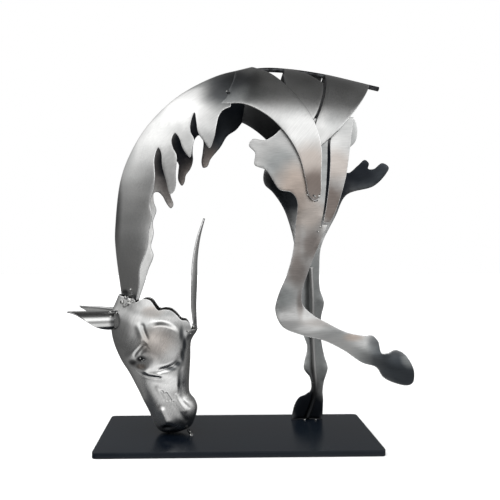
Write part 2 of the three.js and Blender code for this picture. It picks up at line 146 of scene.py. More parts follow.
def makeObject(name, node, positions, faces, material, edgeFrom=None, stand=common["stand"]):
    # faces numbered from edgeFrom on are cut edges, which are ground brighter
    mesh = bpy.data.meshes.new(name)
    mesh.from_pydata([tuple(p) for p in (np.asarray(positions) + stand) * mm], [], [tuple(f) for f in faces])
    mesh.update()
    if edgeFrom is not None:
        mesh.polygons.foreach_set("material_index", [int(i >= edgeFrom) for i in range(len(mesh.polygons))])
    piece = bpy.data.objects.new(name, mesh)
    bpy.context.collection.objects.link(piece)
    edit = bmesh.new()
    edit.from_mesh(mesh)
    bmesh.ops.remove_doubles(edit, verts=edit.verts, dist=1e-6)
    bmesh.ops.recalc_face_normals(edit, faces=edit.faces)
    edit.to_mesh(mesh)
    edit.free()
    mesh.polygons.foreach_set("use_smooth", [True] * len(mesh.polygons))
    mesh.materials.append(material)
    if edgeFrom is not None:
        mesh.materials.append(edgeSteel)
    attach(piece, "root")
    if node:
        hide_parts(node)
    return piece


def recolourRim(piece, material, chosen):
    # the cut edge where chosen(centre, normal) holds takes the given material, mostly the dark one as painted
    # shade; centre in the horse's own millimetres
    piece.data.materials.append(material)
    for polygon in piece.data.polygons:
        if polygon.material_index == 1:
            centre = np.array(polygon.center) / mm - common["stand"]
            if chosen(centre, polygon.normal):
                polygon.material_index = len(piece.data.materials) - 1


def triangleNormals(points, faces):
    normals = np.zeros_like(points)
    tri = np.array([(f[0], f[i], f[i + 1]) for f in faces for i in range(1, len(f) - 1)])
    cross = np.cross(points[tri[:, 1]] - points[tri[:, 0]], points[tri[:, 2]] - points[tri[:, 0]])
    for k in range(3):
        np.add.at(normals, tri[:, k], cross)
    return unit(normals)


def rimLoop(faces):
    # the outer edge of a surface, as vertex numbers in order
    directed = {(f[i], f[(i + 1) % len(f)]) for f in faces for i in range(len(f))}
    following = {a: b for a, b in directed if (b, a) not in directed}
    start = next(iter(following))
    loop = [start]
    while following[loop[-1]] != start:
        loop.append(following[loop[-1]])
    return loop


def thicken(points, faces, lift=0.0, normals=None):
    # a sheet with rounded edges about a middle surface whose faces turn anticlockwise about outwards
    if normals is None:
        normals = triangleNormals(points, faces)
    points = points + normals * lift
    half, rim, angles = common["sheet"] / 2, common["rimRadius"], common["rimAngles"]
    onRim = np.array(rimLoop(faces))
    tangent = points[np.roll(onRim, -1)] - points[np.roll(onRim, 1)]
    outward = unit(np.cross(tangent, normals[onRim]), 1e-9)
    outer, inner = points + normals * half, points - normals * half
    outer[onRim] -= outward * rim
    inner[onRim] -= outward * rim
    count, size = len(points), len(onRim)
    allPoints = [outer, inner]
    rings = [list(onRim)]
    for i, degrees in enumerate(angles):
        angle = math.radians(degrees)
        level = (half - rim) * (1 if i < len(angles) / 2 else -1) + rim * math.sin(angle)
        ring = points[onRim] - outward * rim * (1 - math.cos(angle)) + normals[onRim] * level
        rings.append(list(range(2 * count + i * size, 2 * count + (i + 1) * size)))
        allPoints.append(ring)
    rings.append([count + v for v in onRim])
    solid = [tuple(f) for f in faces] + [tuple(count + v for v in reversed(f)) for f in faces]
    flatCount = len(solid)
    for upper, lower in zip(rings, rings[1:]):
        for i in range(size):
            k = (i + 1) % size
            solid.append((upper[k], upper[i], lower[i], lower[k]))
    return np.vstack(allPoints), solid, flatCount


def cutFlat(outline, step):
    # triangles that fill a flat outline, with an even grid of points inside
    rowHeight, leastAway = 0.866 * step, 0.62 * step
    low, high = outline.min(0), outline.max(0)
    rows = np.arange(low[1] + step / 2, high[1], rowHeight)
    grid = np.array([(x + (step / 2 if i % 2 else 0), y) for i, y in enumerate(rows)
                     for x in np.arange(low[0], high[0], step)])
    grid = grid[insideLoop(grid, outline)]
    away = np.array([np.min(np.sum((outline - g) ** 2, axis=1)) for g in grid])
    points = [Vector(p) for p in np.vstack([outline, grid[away > leastAway ** 2]])]
    edges = [(i, (i + 1) % len(outline)) for i in range(len(outline))]
    result = delaunay_2d_cdt(points, edges, [], 1, 1e-5)
    return np.array([tuple(v) for v in result[0]]), [tuple(f) for f in result[2]]


def insideLoop(points, loop):
    x, y = points[:, 0], points[:, 1]
    inside = np.zeros(len(points), bool)
    for (ax, ay), (bx, by) in zip(loop, np.roll(loop, -1, axis=0)):
        crosses = (ay > y) != (by > y)
        with np.errstate(divide="ignore", invalid="ignore"):
            inside ^= crosses & (x < (bx - ax) * (y - ay) / (by - ay) + ax)
    return inside


def nodeTree(name):
    material = bpy.data.materials.new(name)
    material.use_nodes = True
    tree = material.node_tree
    return material, tree, tree.nodes["Principled BSDF"]


def addNode(tree, kind, inputs=(), **settings):
    node = tree.nodes.new(kind)
    for key, value in settings.items():
        setattr(node, key, value)
    for key, value in dict(inputs).items():
        if isinstance(value, bpy.types.NodeSocket):
            tree.links.new(value, node.inputs[key])
        else:
            node.inputs[key].default_value = value
    return node


def ramp(tree, source, stops, interpolation="LINEAR"):
    node = addNode(tree, "ShaderNodeValToRGB", {"Fac": source})
    node.color_ramp.interpolation = interpolation
    while len(node.color_ramp.elements) < len(stops):
        node.color_ramp.elements.new(0.5)
    for element, (position, colour) in zip(node.color_ramp.elements, stops):
        element.position = position
        element.color = (*colour, 1) if len(colour) == 3 else colour
    return node.outputs["Color"]


def mixColour(tree, factor, first, second, blend="MIX"):
    node = addNode(tree, "ShaderNodeMix", data_type="RGBA", blend_type=blend)
    for socket, value in ((node.inputs[0], factor), (node.inputs[6], first), (node.inputs[7], second)):
        if isinstance(value, bpy.types.NodeSocket):
            tree.links.new(value, socket)
        else:
            socket.default_value = value
    return node.outputs[2]


def maths(tree, operation, first, second, third=0.0, clamp=False):
    values = {0: first, 1: second, 2: third}
    return addNode(tree, "ShaderNodeMath", values, operation=operation, use_clamp=clamp).outputs[0]


def vectorMaths(tree, operation, first, *second):
    values = dict(enumerate((first, *second)))
    return addNode(tree, "ShaderNodeVectorMath", values, operation=operation).outputs


def noise(tree, place, scale, detail, roughness=0.5):
    inputs = {"Vector": place, "Scale": scale, "Detail": detail, "Roughness": roughness}
    return addNode(tree, "ShaderNodeTexNoise", inputs).outputs["Fac"]


def addBump(tree, shader, height, strength, depth):
    bump = addNode(tree, "ShaderNodeBump", {"Height": height, "Strength": strength, "Distance": depth})
    tree.links.new(bump.outputs["Normal"], shader.inputs["Normal"])


steelLook = {
    "base": (0.72, 0.72, 0.71),     # clean brushed steel
    "dull": (0.52, 0.53, 0.53),     # hand-worn patches in it
    "dullShare": 0.4,
    "roughness": (0.27, 0.42),
    "grain": 1400.0,                # brush lines per metre across the grain
    "stretch": 0.035,               # how long the lines are drawn along it
    "lineTone": 0.80,
    "grainDepth": 0.00012,
    "ragged": 0.6,                  # how far a tint's edge wanders
    # the spot colours: pale is painted highlight and reflection; grey, slate and black are mostly painted
    # shade, and also the dark patina at the muzzle and the dark paint at the hooves; tan and brown are partly
    # heat tint and partly painted warm reflection; hoof is the hooves' black paint
    "paintedLightAndTints": {
        "pale": (0.95, 0.95, 0.94),
        "grey": (0.34, 0.355, 0.355),
        "tan": (0.52, 0.44, 0.385),
        "brown": (0.20, 0.165, 0.147),
        "slate": (0.055, 0.062, 0.070),
        "black": (0.012, 0.014, 0.018),
        "hoof": (0.012, 0.014, 0.018),
    },
}
allLightAndTintKinds = tuple(steelLook["paintedLightAndTints"])


def brushedSteel(name, turn=0.0, paintedLightAndTints=(), tone=1.0, roughness=steelLook["roughness"], grain=0.22, inner=()):
    # brush lines run along X, turned about Y; a spot of painted light and shade, in places of real tint and
    # paint, is (kind, x, z, width, height, strength), in mm, and the kinds in inner only show on the faces
    # towards the near side, where they are painted shade inside the far sheets
    material, tree, shader = nodeTree(name)
    place = addNode(tree, "ShaderNodeTexCoord").outputs["Object"]
    turned = addNode(tree, "ShaderNodeMapping", {"Vector": place, "Rotation": (0, turn, 0)}).outputs[0]
    stretch = (steelLook["stretch"], 1, 1)
    stretched = addNode(tree, "ShaderNodeMapping", {"Vector": turned, "Scale": stretch}).outputs[0]
    streaks = noise(tree, stretched, steelLook["grain"], 3.0, 0.6)
    broad = noise(tree, stretched, steelLook["grain"] / 7, 2.0)
    blotches = noise(tree, place, 28.0, 4.0, 0.55)
    specks = noise(tree, place, 900.0, 2.0)

    patchy = ramp(tree, blotches, [(0.38, (0, 0, 0)), (0.66, (1, 1, 1))])
    base, dull = ([tone * c for c in steelLook[kind]] for kind in ("base", "dull"))
    colour = mixColour(tree, maths(tree, "MULTIPLY", patchy, steelLook["dullShare"]), (*base, 1), (*dull, 1))
    ragged = maths(tree, "MULTIPLY_ADD", blotches, steelLook["ragged"], -steelLook["ragged"] / 2)
    normal = addNode(tree, "ShaderNodeNewGeometry").outputs["Normal"]
    facing = addNode(tree, "ShaderNodeSeparateXYZ", {0: normal})
    towardsNear = maths(tree, "LESS_THAN", facing.outputs["Y"], 0.0)
    # each spot mixes its colour into the steel: mostly painted highlight and shade, partly heat tint and paint
    for kind, x, z, width, height, strength in paintedLightAndTints:
        centre = ((x + common["stand"][0]) * mm, 0, (z + common["stand"][2]) * mm)
        offset = vectorMaths(tree, "SUBTRACT", place, centre)[0]
        scaled = vectorMaths(tree, "MULTIPLY", offset, (1 / (width * mm), 0, 1 / (height * mm)))[0]
        reach = maths(tree, "ADD", vectorMaths(tree, "LENGTH", scaled)["Value"], ragged)
        mask = ramp(tree, reach, [(0.3, (1, 1, 1)), (1.0, (0, 0, 0))], "EASE")
        mask = maths(tree, "MULTIPLY", mask, strength)
        if kind in inner:
            mask = maths(tree, "MULTIPLY", mask, towardsNear)
        colour = mixColour(tree, mask, colour, (*steelLook["paintedLightAndTints"][kind], 1))
    lines = ramp(tree, streaks, [(0.3, (steelLook["lineTone"],) * 3), (0.7, (1.0, 1.0, 1.0))])
    colour = mixColour(tree, 1.0, colour, lines, "MULTIPLY")
    tree.links.new(colour, shader.inputs["Base Color"])

    low, high = roughness
    rough = maths(tree, "MULTIPLY_ADD", maths(tree, "ADD", patchy, streaks), (high - low) / 2, low)
    tree.links.new(rough, shader.inputs["Roughness"])
    height = maths(tree, "ADD", streaks, maths(tree, "MULTIPLY", broad, 1.2))
    height = maths(tree, "ADD", height, maths(tree, "MULTIPLY", specks, 0.15))
    addBump(tree, shader, height, grain, steelLook["grainDepth"])
    shader.inputs["Metallic"].default_value = 1.0
    return material


def mottledSteel(name, scale, detail, stops, roughness, bump=None):
    # bump is its strength and depth
    material, tree, shader = nodeTree(name)
    blotches = noise(tree, addNode(tree, "ShaderNodeTexCoord").outputs["Object"], scale, detail)
    tree.links.new(ramp(tree, blotches, stops), shader.inputs["Base Color"])
    if bump:
        addBump(tree, shader, blotches, *bump)
    shader.inputs["Metallic"].default_value = 1.0
    shader.inputs["Roughness"].default_value = roughness
    return material


def satinBlack():
    material, tree, shader = nodeTree("satinBlack")
    place = addNode(tree, "ShaderNodeTexCoord").outputs["Object"]
    cloud = noise(tree, place, 18.0, 4.0)
    colour = ramp(tree, cloud, [(0.3, (0.003, 0.005, 0.009)), (0.7, (0.005, 0.008, 0.012))])
    tree.links.new(colour, shader.inputs["Base Color"])
    rough = ramp(tree, cloud, [(0.3, (0.20, 0.20, 0.20)), (0.75, (0.27, 0.27, 0.27))])
    tree.links.new(rough, shader.inputs["Roughness"])
    addBump(tree, shader, noise(tree, place, 700.0, 3.0), 0.12, 0.0002)
    shader.inputs["Specular IOR Level"].default_value = 0.3
    return material


edgeSteel = mottledSteel("groundEdge", 600.0, 2.0, roughness=0.24, stops=[
    (0.35, (0.62, 0.62, 0.62)), (0.6, (0.95, 0.95, 0.95))])
# dark steel of the spine bar and chin post, darker partly as painted shade, and laid on cut edges as painted
# shade in gaps and on the far side
darkBarAndShadeSteel = mottledSteel("darkBarAndPaintedShade", 160.0, 5.0, roughness=0.42, bump=(0.4, 0.0003), stops=[
    (0.35, (0.02, 0.02, 0.023)), (0.7, (0.13, 0.135, 0.14))])
weldSteel = mottledSteel("weldMetal", 420.0, 3.0, roughness=0.24, bump=(0.5, 0.0004), stops=[
    (0.38, (0.10, 0.10, 0.11)), (0.58, (0.72, 0.72, 0.70))])
plinthPaint = satinBlack()
print("materials ready")

# The crest and the flanks that hang from it: x, z, how far the flank swings out, and how far below the
# crest it has done so
crest = {
    "stations": [
        (-127.6, 150.5, 20.6, 34), (-135, 208, 25.5, 42), (-135.6, 238, 27.5, 45), (-130, 287, 32, 51),
        (-117, 322, 35.5, 55), (-97, 353, 38.5, 59), (-65, 383, 42, 63), (-23, 405.4, 45, 67),
        (15, 414, 47.5, 70), (50, 414.9, 49, 72), (98, 408.8, 49.5, 72), (150.5, 397, 50, 72),
    ],
    "fold": 0.8,
    "samples": 3000,
    "coarse": 10,      # the first search takes samples this far apart
    "rows": 32,        # a sheet's rows are counted in this many parts of the crest
    "average": (44, 64),  # swing and depth of an average flank, for laying a sheet flat
    "besideBar": 1.4,  # how far down the sheets start that are welded to the sides of the bar
}


def crestTable():
    dense = catmull(crest["stations"], np.linspace(0, 1, crest["samples"]))
    length = distances(dense[:, :2])
    even = np.linspace(0, length[-1], crest["samples"])
    return np.column_stack([np.interp(even, length, dense[:, k]) for k in range(4)]), length[-1]


crestLine, crestLength = crestTable()
crestAlong = unit(np.gradient(crestLine[:, :2], axis=0))


def crestAt(u):
    at = np.clip(u, 0, 1) * (crest["samples"] - 1)
    steps = np.arange(crest["samples"])
    values = [np.interp(at, steps, column) for column in (*crestLine.T, *crestAlong.T)]
    return np.column_stack(values)


def flankPoint(u, below, side):
    x, z, out, down, alongX, alongZ = crestAt(u).T
    reach = 1 - np.clip(below / down, 0, 1)
    swing = 2 * common["clearance"] + out * (1 - reach ** 2) ** crest["fold"]
    return np.column_stack([x + alongZ * below, side * swing, z - alongX * below])


def flankNormal(u, below, side):
    du, db = 2e-3, 0.2
    along = flankPoint(u + du, below, side) - flankPoint(u - du, below, side)
    across = flankPoint(u, below + db, side) - flankPoint(u, np.maximum(below - db, 0), side)
    normal = unit(np.cross(along, across), 1e-9)
    return normal * np.where(normal[:, 1] * side < 0, -1, 1)[:, None]


def toFlank(points, side, lift, rows, above):
    # crest position and depth below it of points in the side view, nudged a few times to settle
    target = points.copy()
    for _ in range(4):
        gaps = ((target[:, None, :] - crestLine[None, ::crest["coarse"], :2]) ** 2).sum(2)
        u = np.argmin(gaps, axis=1) * crest["coarse"] / (crest["samples"] - 1)
        for _ in range(3):
            row = crestAt(u)
            u = np.clip(u + ((target - row[:, :2]) * row[:, 4:6]).sum(1) / crestLength, 0, 1)
        u = np.clip(u, rows[0] / crest["rows"], rows[1] / crest["rows"])
        row = crestAt(u)
        below = (target - row[:, :2])[:, 0] * row[:, 5] - (target - row[:, :2])[:, 1] * row[:, 4]
        below = np.clip(below, above, None)
        if not lift:
            break
        normal = flankNormal(u, below, side)
        target = points - lift * normal[:, [0, 2]]
    return u, below


# Distance across a flank against depth below the crest, for an average section
depths = np.linspace(0, 180, 1801)
swing, swungAt = crest["average"]
averageSwing = swing * (1 - (1 - np.clip(depths / swungAt, 0, 1)) ** 2) ** crest["fold"]
acrossTable = distances(np.column_stack([depths, averageSwing]))
flankRipple = {"size": 60, "startsOver": 14}
flushLift = 0.1       # lift of an edge that is dressed flush
leastSpacing = 0.35   # of points along a sheet's outline laid flat


def flankPiece(name, side, sheet, material, ripple=0.35, seed=1):
    lift = sheet.get("lift", 0.0)
    outline = outlineOf(sheet["lines"], common["edgeStep"])
    u, below = toFlank(outline, side, lift, sheet["rows"], sheet.get("above", 0))
    flat = np.column_stack([u * crestLength, np.interp(below, depths, acrossTable)])
    spots, faces = cutFlat(tidyLoop(flat, leastSpacing), common["gridStep"])
    u, below = spots[:, 0] / crestLength, np.interp(spots[:, 1], acrossTable, depths)
    points = flankPoint(u, below, side)
    normals = flankNormal(u, below, side)
    if "blend" in sheet:
        edge, width = sheet["blend"]
        part = np.clip((points[:, 0] - np.interp(points[:, 2], *zip(*edge))) / width, 0, 1)
        lift = (flushLift + (lift - flushLift) * part * part * (3 - 2 * part))[:, None]
    bend = waves(points, flankRipple["size"], seed) * ripple * np.clip(below / flankRipple["startsOver"], 0, 1)
    points = points + normals * bend[:, None]
    if np.dot(triangleNormals(points, faces).mean(0), normals.mean(0)) < 0:
        faces = [f[::-1] for f in faces]
    solid, solidFaces, edgeFrom = thicken(points, faces, lift=lift)
    piece = makeObject(name, name, solid, solidFaces, material, edgeFrom=edgeFrom)
    if side == far:
        # the far sheets' cut edges are painted dark as shade
        recolourRim(piece, darkBarAndShadeSteel, lambda centre, normal: True)
    elif "blend" in sheet:
        recolourRim(piece, material, lambda centre, normal: centre[0] < np.interp(centre[2], *zip(*edge)) + 5)
    return piece


crestEnd = [(-140, 156), (-145, 210), (-145, 245), (-138, 295), (-122, 333), (-99, 365), (-66, 394), (-25, 416)]

neckNear = {
    "rows": (0, 23),
    "lines": [
        [(6, 424), (-8, 362.5)],
        [(-8, 362.5), (-15, 359.5), (-20, 353), (-23, 341), (-25, 330), (-30, 319), (-36, 326), (-42, 335),
         (-44, 347), (-46, 358), (-50, 347), (-50, 337), (-46.5, 329), (-48, 320), (-50.5, 309.5),
         (-58, 318), (-62, 329.5), (-67, 336), (-70.3, 330), (-69, 321), (-65, 312), (-66, 293), (-66, 281),
         (-68.5, 273.5), (-72.5, 271), (-77, 287), (-80.5, 301), (-81.7, 315), (-85, 321), (-89, 310),
         (-88.5, 290), (-90, 276), (-94, 262), (-92, 247), (-95, 234), (-97.5, 213), (-106, 190),
         (-107, 172), (-111, 153)],
        [(-111, 153), (-140, 156)],
        [*crestEnd, (6, 424)],
    ],
}

neckFar = {
    "rows": (0, 25),
    "lines": [
        [(6, 424), (12, 390), (9, 363.5)],
        [(9, 363.5), (2, 355), (-9, 347), (-17, 334), (-29, 319), (-33, 310), (-38, 308.5), (-40, 315),
         (-38.5, 328), (-38, 341), (-43, 347), (-48.5, 341), (-50.5, 328), (-50, 317), (-53, 307),
         (-58.5, 299), (-60, 291), (-63, 286.5), (-67.5, 293), (-67.5, 304), (-67, 312), (-71, 317),
         (-76, 308), (-79, 291), (-76.5, 275), (-73, 263.5), (-76, 259.5), (-81, 265), (-86, 274),
         (-91, 278.5), (-95.8, 277.5), (-96, 267), (-93, 257), (-97, 243), (-96, 229), (-99, 214),
         (-96, 204), (-102, 187), (-106, 172), (-110.5, 158), (-112.5, 152)],
        [(-112.5, 152), (-140, 156)],
        [*crestEnd, (6, 424)],
    ],
}

shoulderBand = {
    "rows": (17, 30),
    "lift": 2.1,
    # its front edge as (z, x), and the width over which it is dressed down flush with the neck
    "blend": ([(367, -18), (395, -5), (424, 0)], 26),
    "lines": [
        [(-18, 367), (5, 365), (24, 356), (41, 342), (54, 326), (64, 307), (70, 283), (73, 269), (79, 263),
         (85, 267), (86.5, 290), (86.5, 318), (80, 343), (67, 366), (50, 388.5), (36, 403), (22, 412),
         (10, 424)],
        [(10, 424), (0, 424)],
        [(0, 424), (-5, 395), (-18, 367)],
    ],
}

middleBand = {
    "rows": (24, 29),
    "above": crest["besideBar"],
    "lines": [
        [(57, 424), (68, 424)],
        [(68, 424), (67, 413), (80, 404), (93.5, 391.5)],
        [(93.5, 391.5), (91.5, 380), (87, 366), (81.5, 353), (76, 345), (69, 341)],
        [(69, 341), (61, 352), (54, 370), (51, 390), (51, 403), (57, 424)],
    ],
}

# The far one runs on to the rear band at the ridge
middleBandFar = {
    **middleBand,
    "rows": (24, 30),
    "lines": [
        [(57, 424), (99.4, 424)],
        [(99.4, 424), (97.3, 402), (93.3, 384.5), (90.5, 377)],
        [(90.5, 377), (87, 366), (81.5, 353), (76, 345), (69, 341)],
        middleBand["lines"][-1],
    ],
}

rearBand = {
    "rows": (27, 32),
    "above": crest["besideBar"],
    "lines": [
        [(100, 424), (170, 424), (149.5, 396.5)],
        [(149.5, 396.5), (142, 384), (127, 363), (105, 337), (86, 319.5)],
        [(86, 319.5), (80, 325), (80.5, 343), (86, 358), (94, 382), (98, 402), (100, 424)],
    ],
}

# painted light on the near neck: pale spots are painted highlights, slate and grey along the crest and front
# edge are painted shade, and black and slate at the poll are painted shade in the pits by the welds
neckSteel = brushedSteel("neckSteel", turn=0.6, paintedLightAndTints=[
    ("pale", -60, 375, 46, 36, 0.9), ("pale", -95, 335, 34, 44, 0.3), ("pale", -42, 352, 26, 26, 0.7),
    ("slate", -10, 402, 40, 24, 0.85), ("slate", -12, 380, 34, 28, 0.85), ("slate", -138, 262, 14, 80, 0.8),
    ("grey", -122, 332, 14, 44, 0.5), ("grey", -100, 366, 30, 16, 0.5), ("grey", -62, 396, 44, 10, 0.6),
    ("black", -124, 163, 6, 6, 0.8), ("black", -112.8, 157, 6, 6, 0.8), ("slate", -118, 158, 22, 9, 0.4)])
# painted shade on the inside of the far neck, under the shoulder: black, slate and brown spots
neckFarSteel = brushedSteel("neckFarSteel", turn=0.6, inner=allLightAndTintKinds, paintedLightAndTints=[
    ("black", 5, 365, 85, 80, 1.0), ("slate", -15, 335, 44, 44, 0.9), ("brown", -33, 318, 24, 28, 0.6),
    ("brown", -70, 300, 60, 60, 0.85), ("black", -80, 312, 30, 52, 1.0), ("black", -56, 338, 28, 44, 1.0),
    ("black", -36, 358, 28, 40, 1.0)])
# painted light on the near shoulder band: slate and grey at the crest are painted shade, pale is a painted
# highlight, tan and brown lower down are partly heat tint and partly painted warm reflection
shoulderSteel = brushedSteel("shoulderSteel", turn=0.9, paintedLightAndTints=[
    ("slate", -10, 392, 44, 44, 0.9), ("grey", 10, 376, 40, 16, 0.5), ("pale", 62, 335, 30, 30, 0.5),
    ("tan", 76, 300, 34, 34, 0.7), ("brown", 80, 280, 30, 26, 0.95)])
# painted shade on the middle and rear bands: slate along the ridge and grey at the lower edge
bandSteel = brushedSteel("bandSteel", turn=0.9, paintedLightAndTints=[
    ("slate", 110, 405, 110, 26, 0.25), ("grey", 102, 346, 16, 18, 0.4)])
# painted shade inside the far bands: black on the faces towards the near side
farBandSteel = brushedSteel("farBandSteel", turn=0.9, inner=allLightAndTintKinds, paintedLightAndTints=[("black", 60, 370, 130, 90, 0.9)])
flankPiece("neck_near", near, neckNear, neckSteel, seed=3)
flankPiece("neck_far", far, neckFar, neckFarSteel, seed=4)
for suffix, side in (("near", near), ("far", far)):
    shoulder, steel = (shoulderSteel, bandSteel) if side == near else (farBandSteel, farBandSteel)
    middle = middleBand if side == near else middleBandFar
    flankPiece(f"shoulder_band_{suffix}", side, shoulderBand, shoulder, ripple=0.2, seed=5)
    leaf = flankPiece(f"middle_band_{suffix}", side, middle, steel, ripple=0.2, seed=6)
    # all cut edges of the middle bands are painted dark as shade in the gaps between bands
    recolourRim(leaf, darkBarAndShadeSteel, lambda centre, normal: True)
    last = flankPiece(f"rear_band_{suffix}", side, rearBand, steel, ripple=0.2, seed=7)
    # the rear bands' front edges are painted dark as shade in the gap
    recolourRim(last, darkBarAndShadeSteel, lambda centre, normal: centre[0] < 104)
print("flank sheets done")


def relax(values, faces, rounds):
    # evens a value out over neighbouring points
    edges = np.array(list({tuple(sorted((f[i], f[(i + 1) % len(f)]))) for f in faces for i in range(len(f))}))
    for _ in range(rounds):
        total, count = values.copy(), np.ones(len(values))
        for a, b in ((0, 1), (1, 0)):
            np.add.at(total, edges[:, a], values[edges[:, b]])
            np.add.at(count, edges[:, a], 1)
        values = total / count
    return values


limbMake = {"samples": 600, "relaxRounds": 8, "dishReach": 1.2, "rippleSize": 45}


# Limbs are sheets dished about a line down their middle, given as stations: x, z, the width to the left
# and to the right of the line, how far out it lies, and how much nearer the edges are
def limbPiece(name, side, limb, material, seed, ripple=0.3):
    dense = catmull(limb["stations"], np.linspace(0, 1, 2 * limbMake["samples"]))
    length = distances(dense[:, :2])
    even = np.linspace(0, length[-1], limbMake["samples"])
    table = np.column_stack([np.interp(even, length, dense[:, k]) for k in range(6)])
    along = unit(np.gradient(table[:, :2], axis=0))
    outline = outlineOf(limb["lines"], common["edgeStep"])
    spots, faces = cutFlat(outline, common["gridStep"])
    at = np.argmin(((spots[:, None, :] - table[None, :, :2]) ** 2).sum(2), axis=1)
    x, z, left, right, out, drop = table[at].T
    across = -(spots[:, 0] - x) * along[at, 1] + (spots[:, 1] - z) * along[at, 0]
    part = across / np.where(across < 0, left, right)
    depth = out - drop * np.clip(part, -limbMake["dishReach"], limbMake["dishReach"]) ** 2
    depth = relax(depth, faces, limbMake["relaxRounds"])
    points = np.column_stack([spots[:, 0], side * depth, spots[:, 1]])
    points[:, 1] += side * waves(points, limbMake["rippleSize"], seed) * ripple
    if triangleNormals(points, faces)[:, 1].mean() * side < 0:
        faces = [f[::-1] for f in faces]
    solid, solidFaces, edgeFrom = thicken(points, faces)
    return makeObject(name, name, solid, solidFaces, material, edgeFrom=edgeFrom)


triceps = {
    "stations": [
        (114, 372, 24, 20, 43, 3), (113, 350, 24, 20, 43, 3), (108, 320, 22, 17, 43, 3),
        (104, 290, 20, 16, 43, 3), (97, 258, 17, 15, 43, 2.5), (90, 234, 14, 15, 43, 2),
    ],
    "lines": [
        [(106, 352), (122.5, 352)],
        [(122.5, 352), (120.5, 335), (118, 313), (115, 291), (110.5, 273), (104, 253), (97.5, 240)],
        [(97.5, 240), (90, 240)],
        [(90, 240), (93, 256), (96, 279), (97.5, 303), (97.5, 328), (99, 342), (106, 352)],
    ],
}

tricepsFar = {
    # wider at its top, where its lobe is
    "stations": [(x, z, left, right + (22 if i < 3 else 0), out, drop)
                 for i, (x, z, left, right, out, drop) in enumerate(triceps["stations"])],
    "lines": [
        [(106, 352), (121, 352)],
        [(121, 352), (128, 358), (134, 366), (141, 370), (146.5, 364), (148, 351), (145, 340), (136, 331),
         (125, 318), (117, 291), (111, 273), (104, 253), (97.5, 240)],
        *triceps["lines"][2:],
    ],
}

legNear = {
    "stations": [
        (78, 360, 70, 26, 46, 6), (78, 325, 74, 24, 46, 6), (78, 285, 66, 22, 46, 6), (77, 255, 24, 22, 46, 6),
        (72, 222, 20, 19, 46, 7), (62, 188, 17, 17, 46, 7), (54, 158, 17, 18, 46, 7), (58, 137, 22, 21, 46, 7),
        (78, 128, 20, 17, 46, 7), (103, 120, 15, 17, 46, 7), (128, 107, 18, 17, 46, 7),
        (146, 97, 18, 16, 46, 7), (166, 88, 22, 21, 46, 6), (197, 75, 24, 24, 46, 5),
    ],
    "lines": [
        [(97, 350), (95, 330), (94.5, 300), (93, 274), (90.5, 252), (88, 238.8)],
        [(88, 238.8), (96, 238.8)],
        [(96, 238.8), (86, 217), (75, 190), (67.5, 165), (69, 153), (80, 142.5), (97, 133), (116, 124),
         (127, 121.3), (137, 119.8), (144.5, 119.8), (150.5, 113.5), (153, 102), (159, 101.5), (168.5, 104.8),
         (178, 100.5), (186.4, 87), (187.8, 78), (186.4, 70), (181, 67), (169, 68.8), (155, 75.5), (147, 86.5),
         (132, 91.5), (112, 105), (89, 116), (66, 121.7), (47, 130.3), (39.5, 147), (42.7, 164), (51.3, 185),
         (58, 210), (60.5, 238), (62, 263), (56, 272), (44, 275), (36, 286), (29, 296), (17.5, 301.5),
         (18, 314), (11.5, 322), (15, 328.5), (29, 327.5), (43, 337), (52, 350)],
        [(52, 350), (97, 350)],
    ],
}

groundHeight = 4.3  # where the standing hoof ends

legFar = {
    "stations": [
        (84, 352, 54, 104, 37, 4), (84, 318, 54, 104, 37, 4), (86, 280, 56, 104, 37, 4),
        (88, 248, 34, 48, 38, 5), (88, 216, 24, 24, 39, 6), (93, 180, 17, 18, 40, 7), (97, 146, 15, 15, 42, 7),
        (95, 112, 14, 15, 43.5, 7), (97, 78, 17, 17, 44.5, 7), (98, 54, 16, 16, 45, 7),
        (93, 34, 22, 22, 45.5, 7), (88, 1, 24, 26, 45.5, 8),
    ],
    "lines": [
        [(60, 348), (110, 348)],
        [(110, 348), (122, 326), (135, 302.5), (147, 311), (155.5, 318), (160.5, 313.5), (159.5, 307.5),
         (166, 307), (176, 314), (184, 309), (180, 300), (166, 286.5), (134, 276), (121, 251), (104, 215),
         (102, 190), (103, 164), (108, 147), (105, 128), (105, 104), (109, 82), (113, 67), (109, 50),
         (107.5, 38), (108, 27), (107, groundHeight)],
        [(107, groundHeight), (68.5, groundHeight)],
        [(68.5, groundHeight), (73.5, 23), (79.5, 31), (86.5, 33.6), (93, 39.5), (92, 54), (84, 66.5),
         (88.3, 92), (83, 108), (77, 138), (75, 165), (74, 190), (71.5, 216), (65, 242), (57, 262), (45, 279),
         (35, 289), (35, 305), (60, 348)],
    ],
}

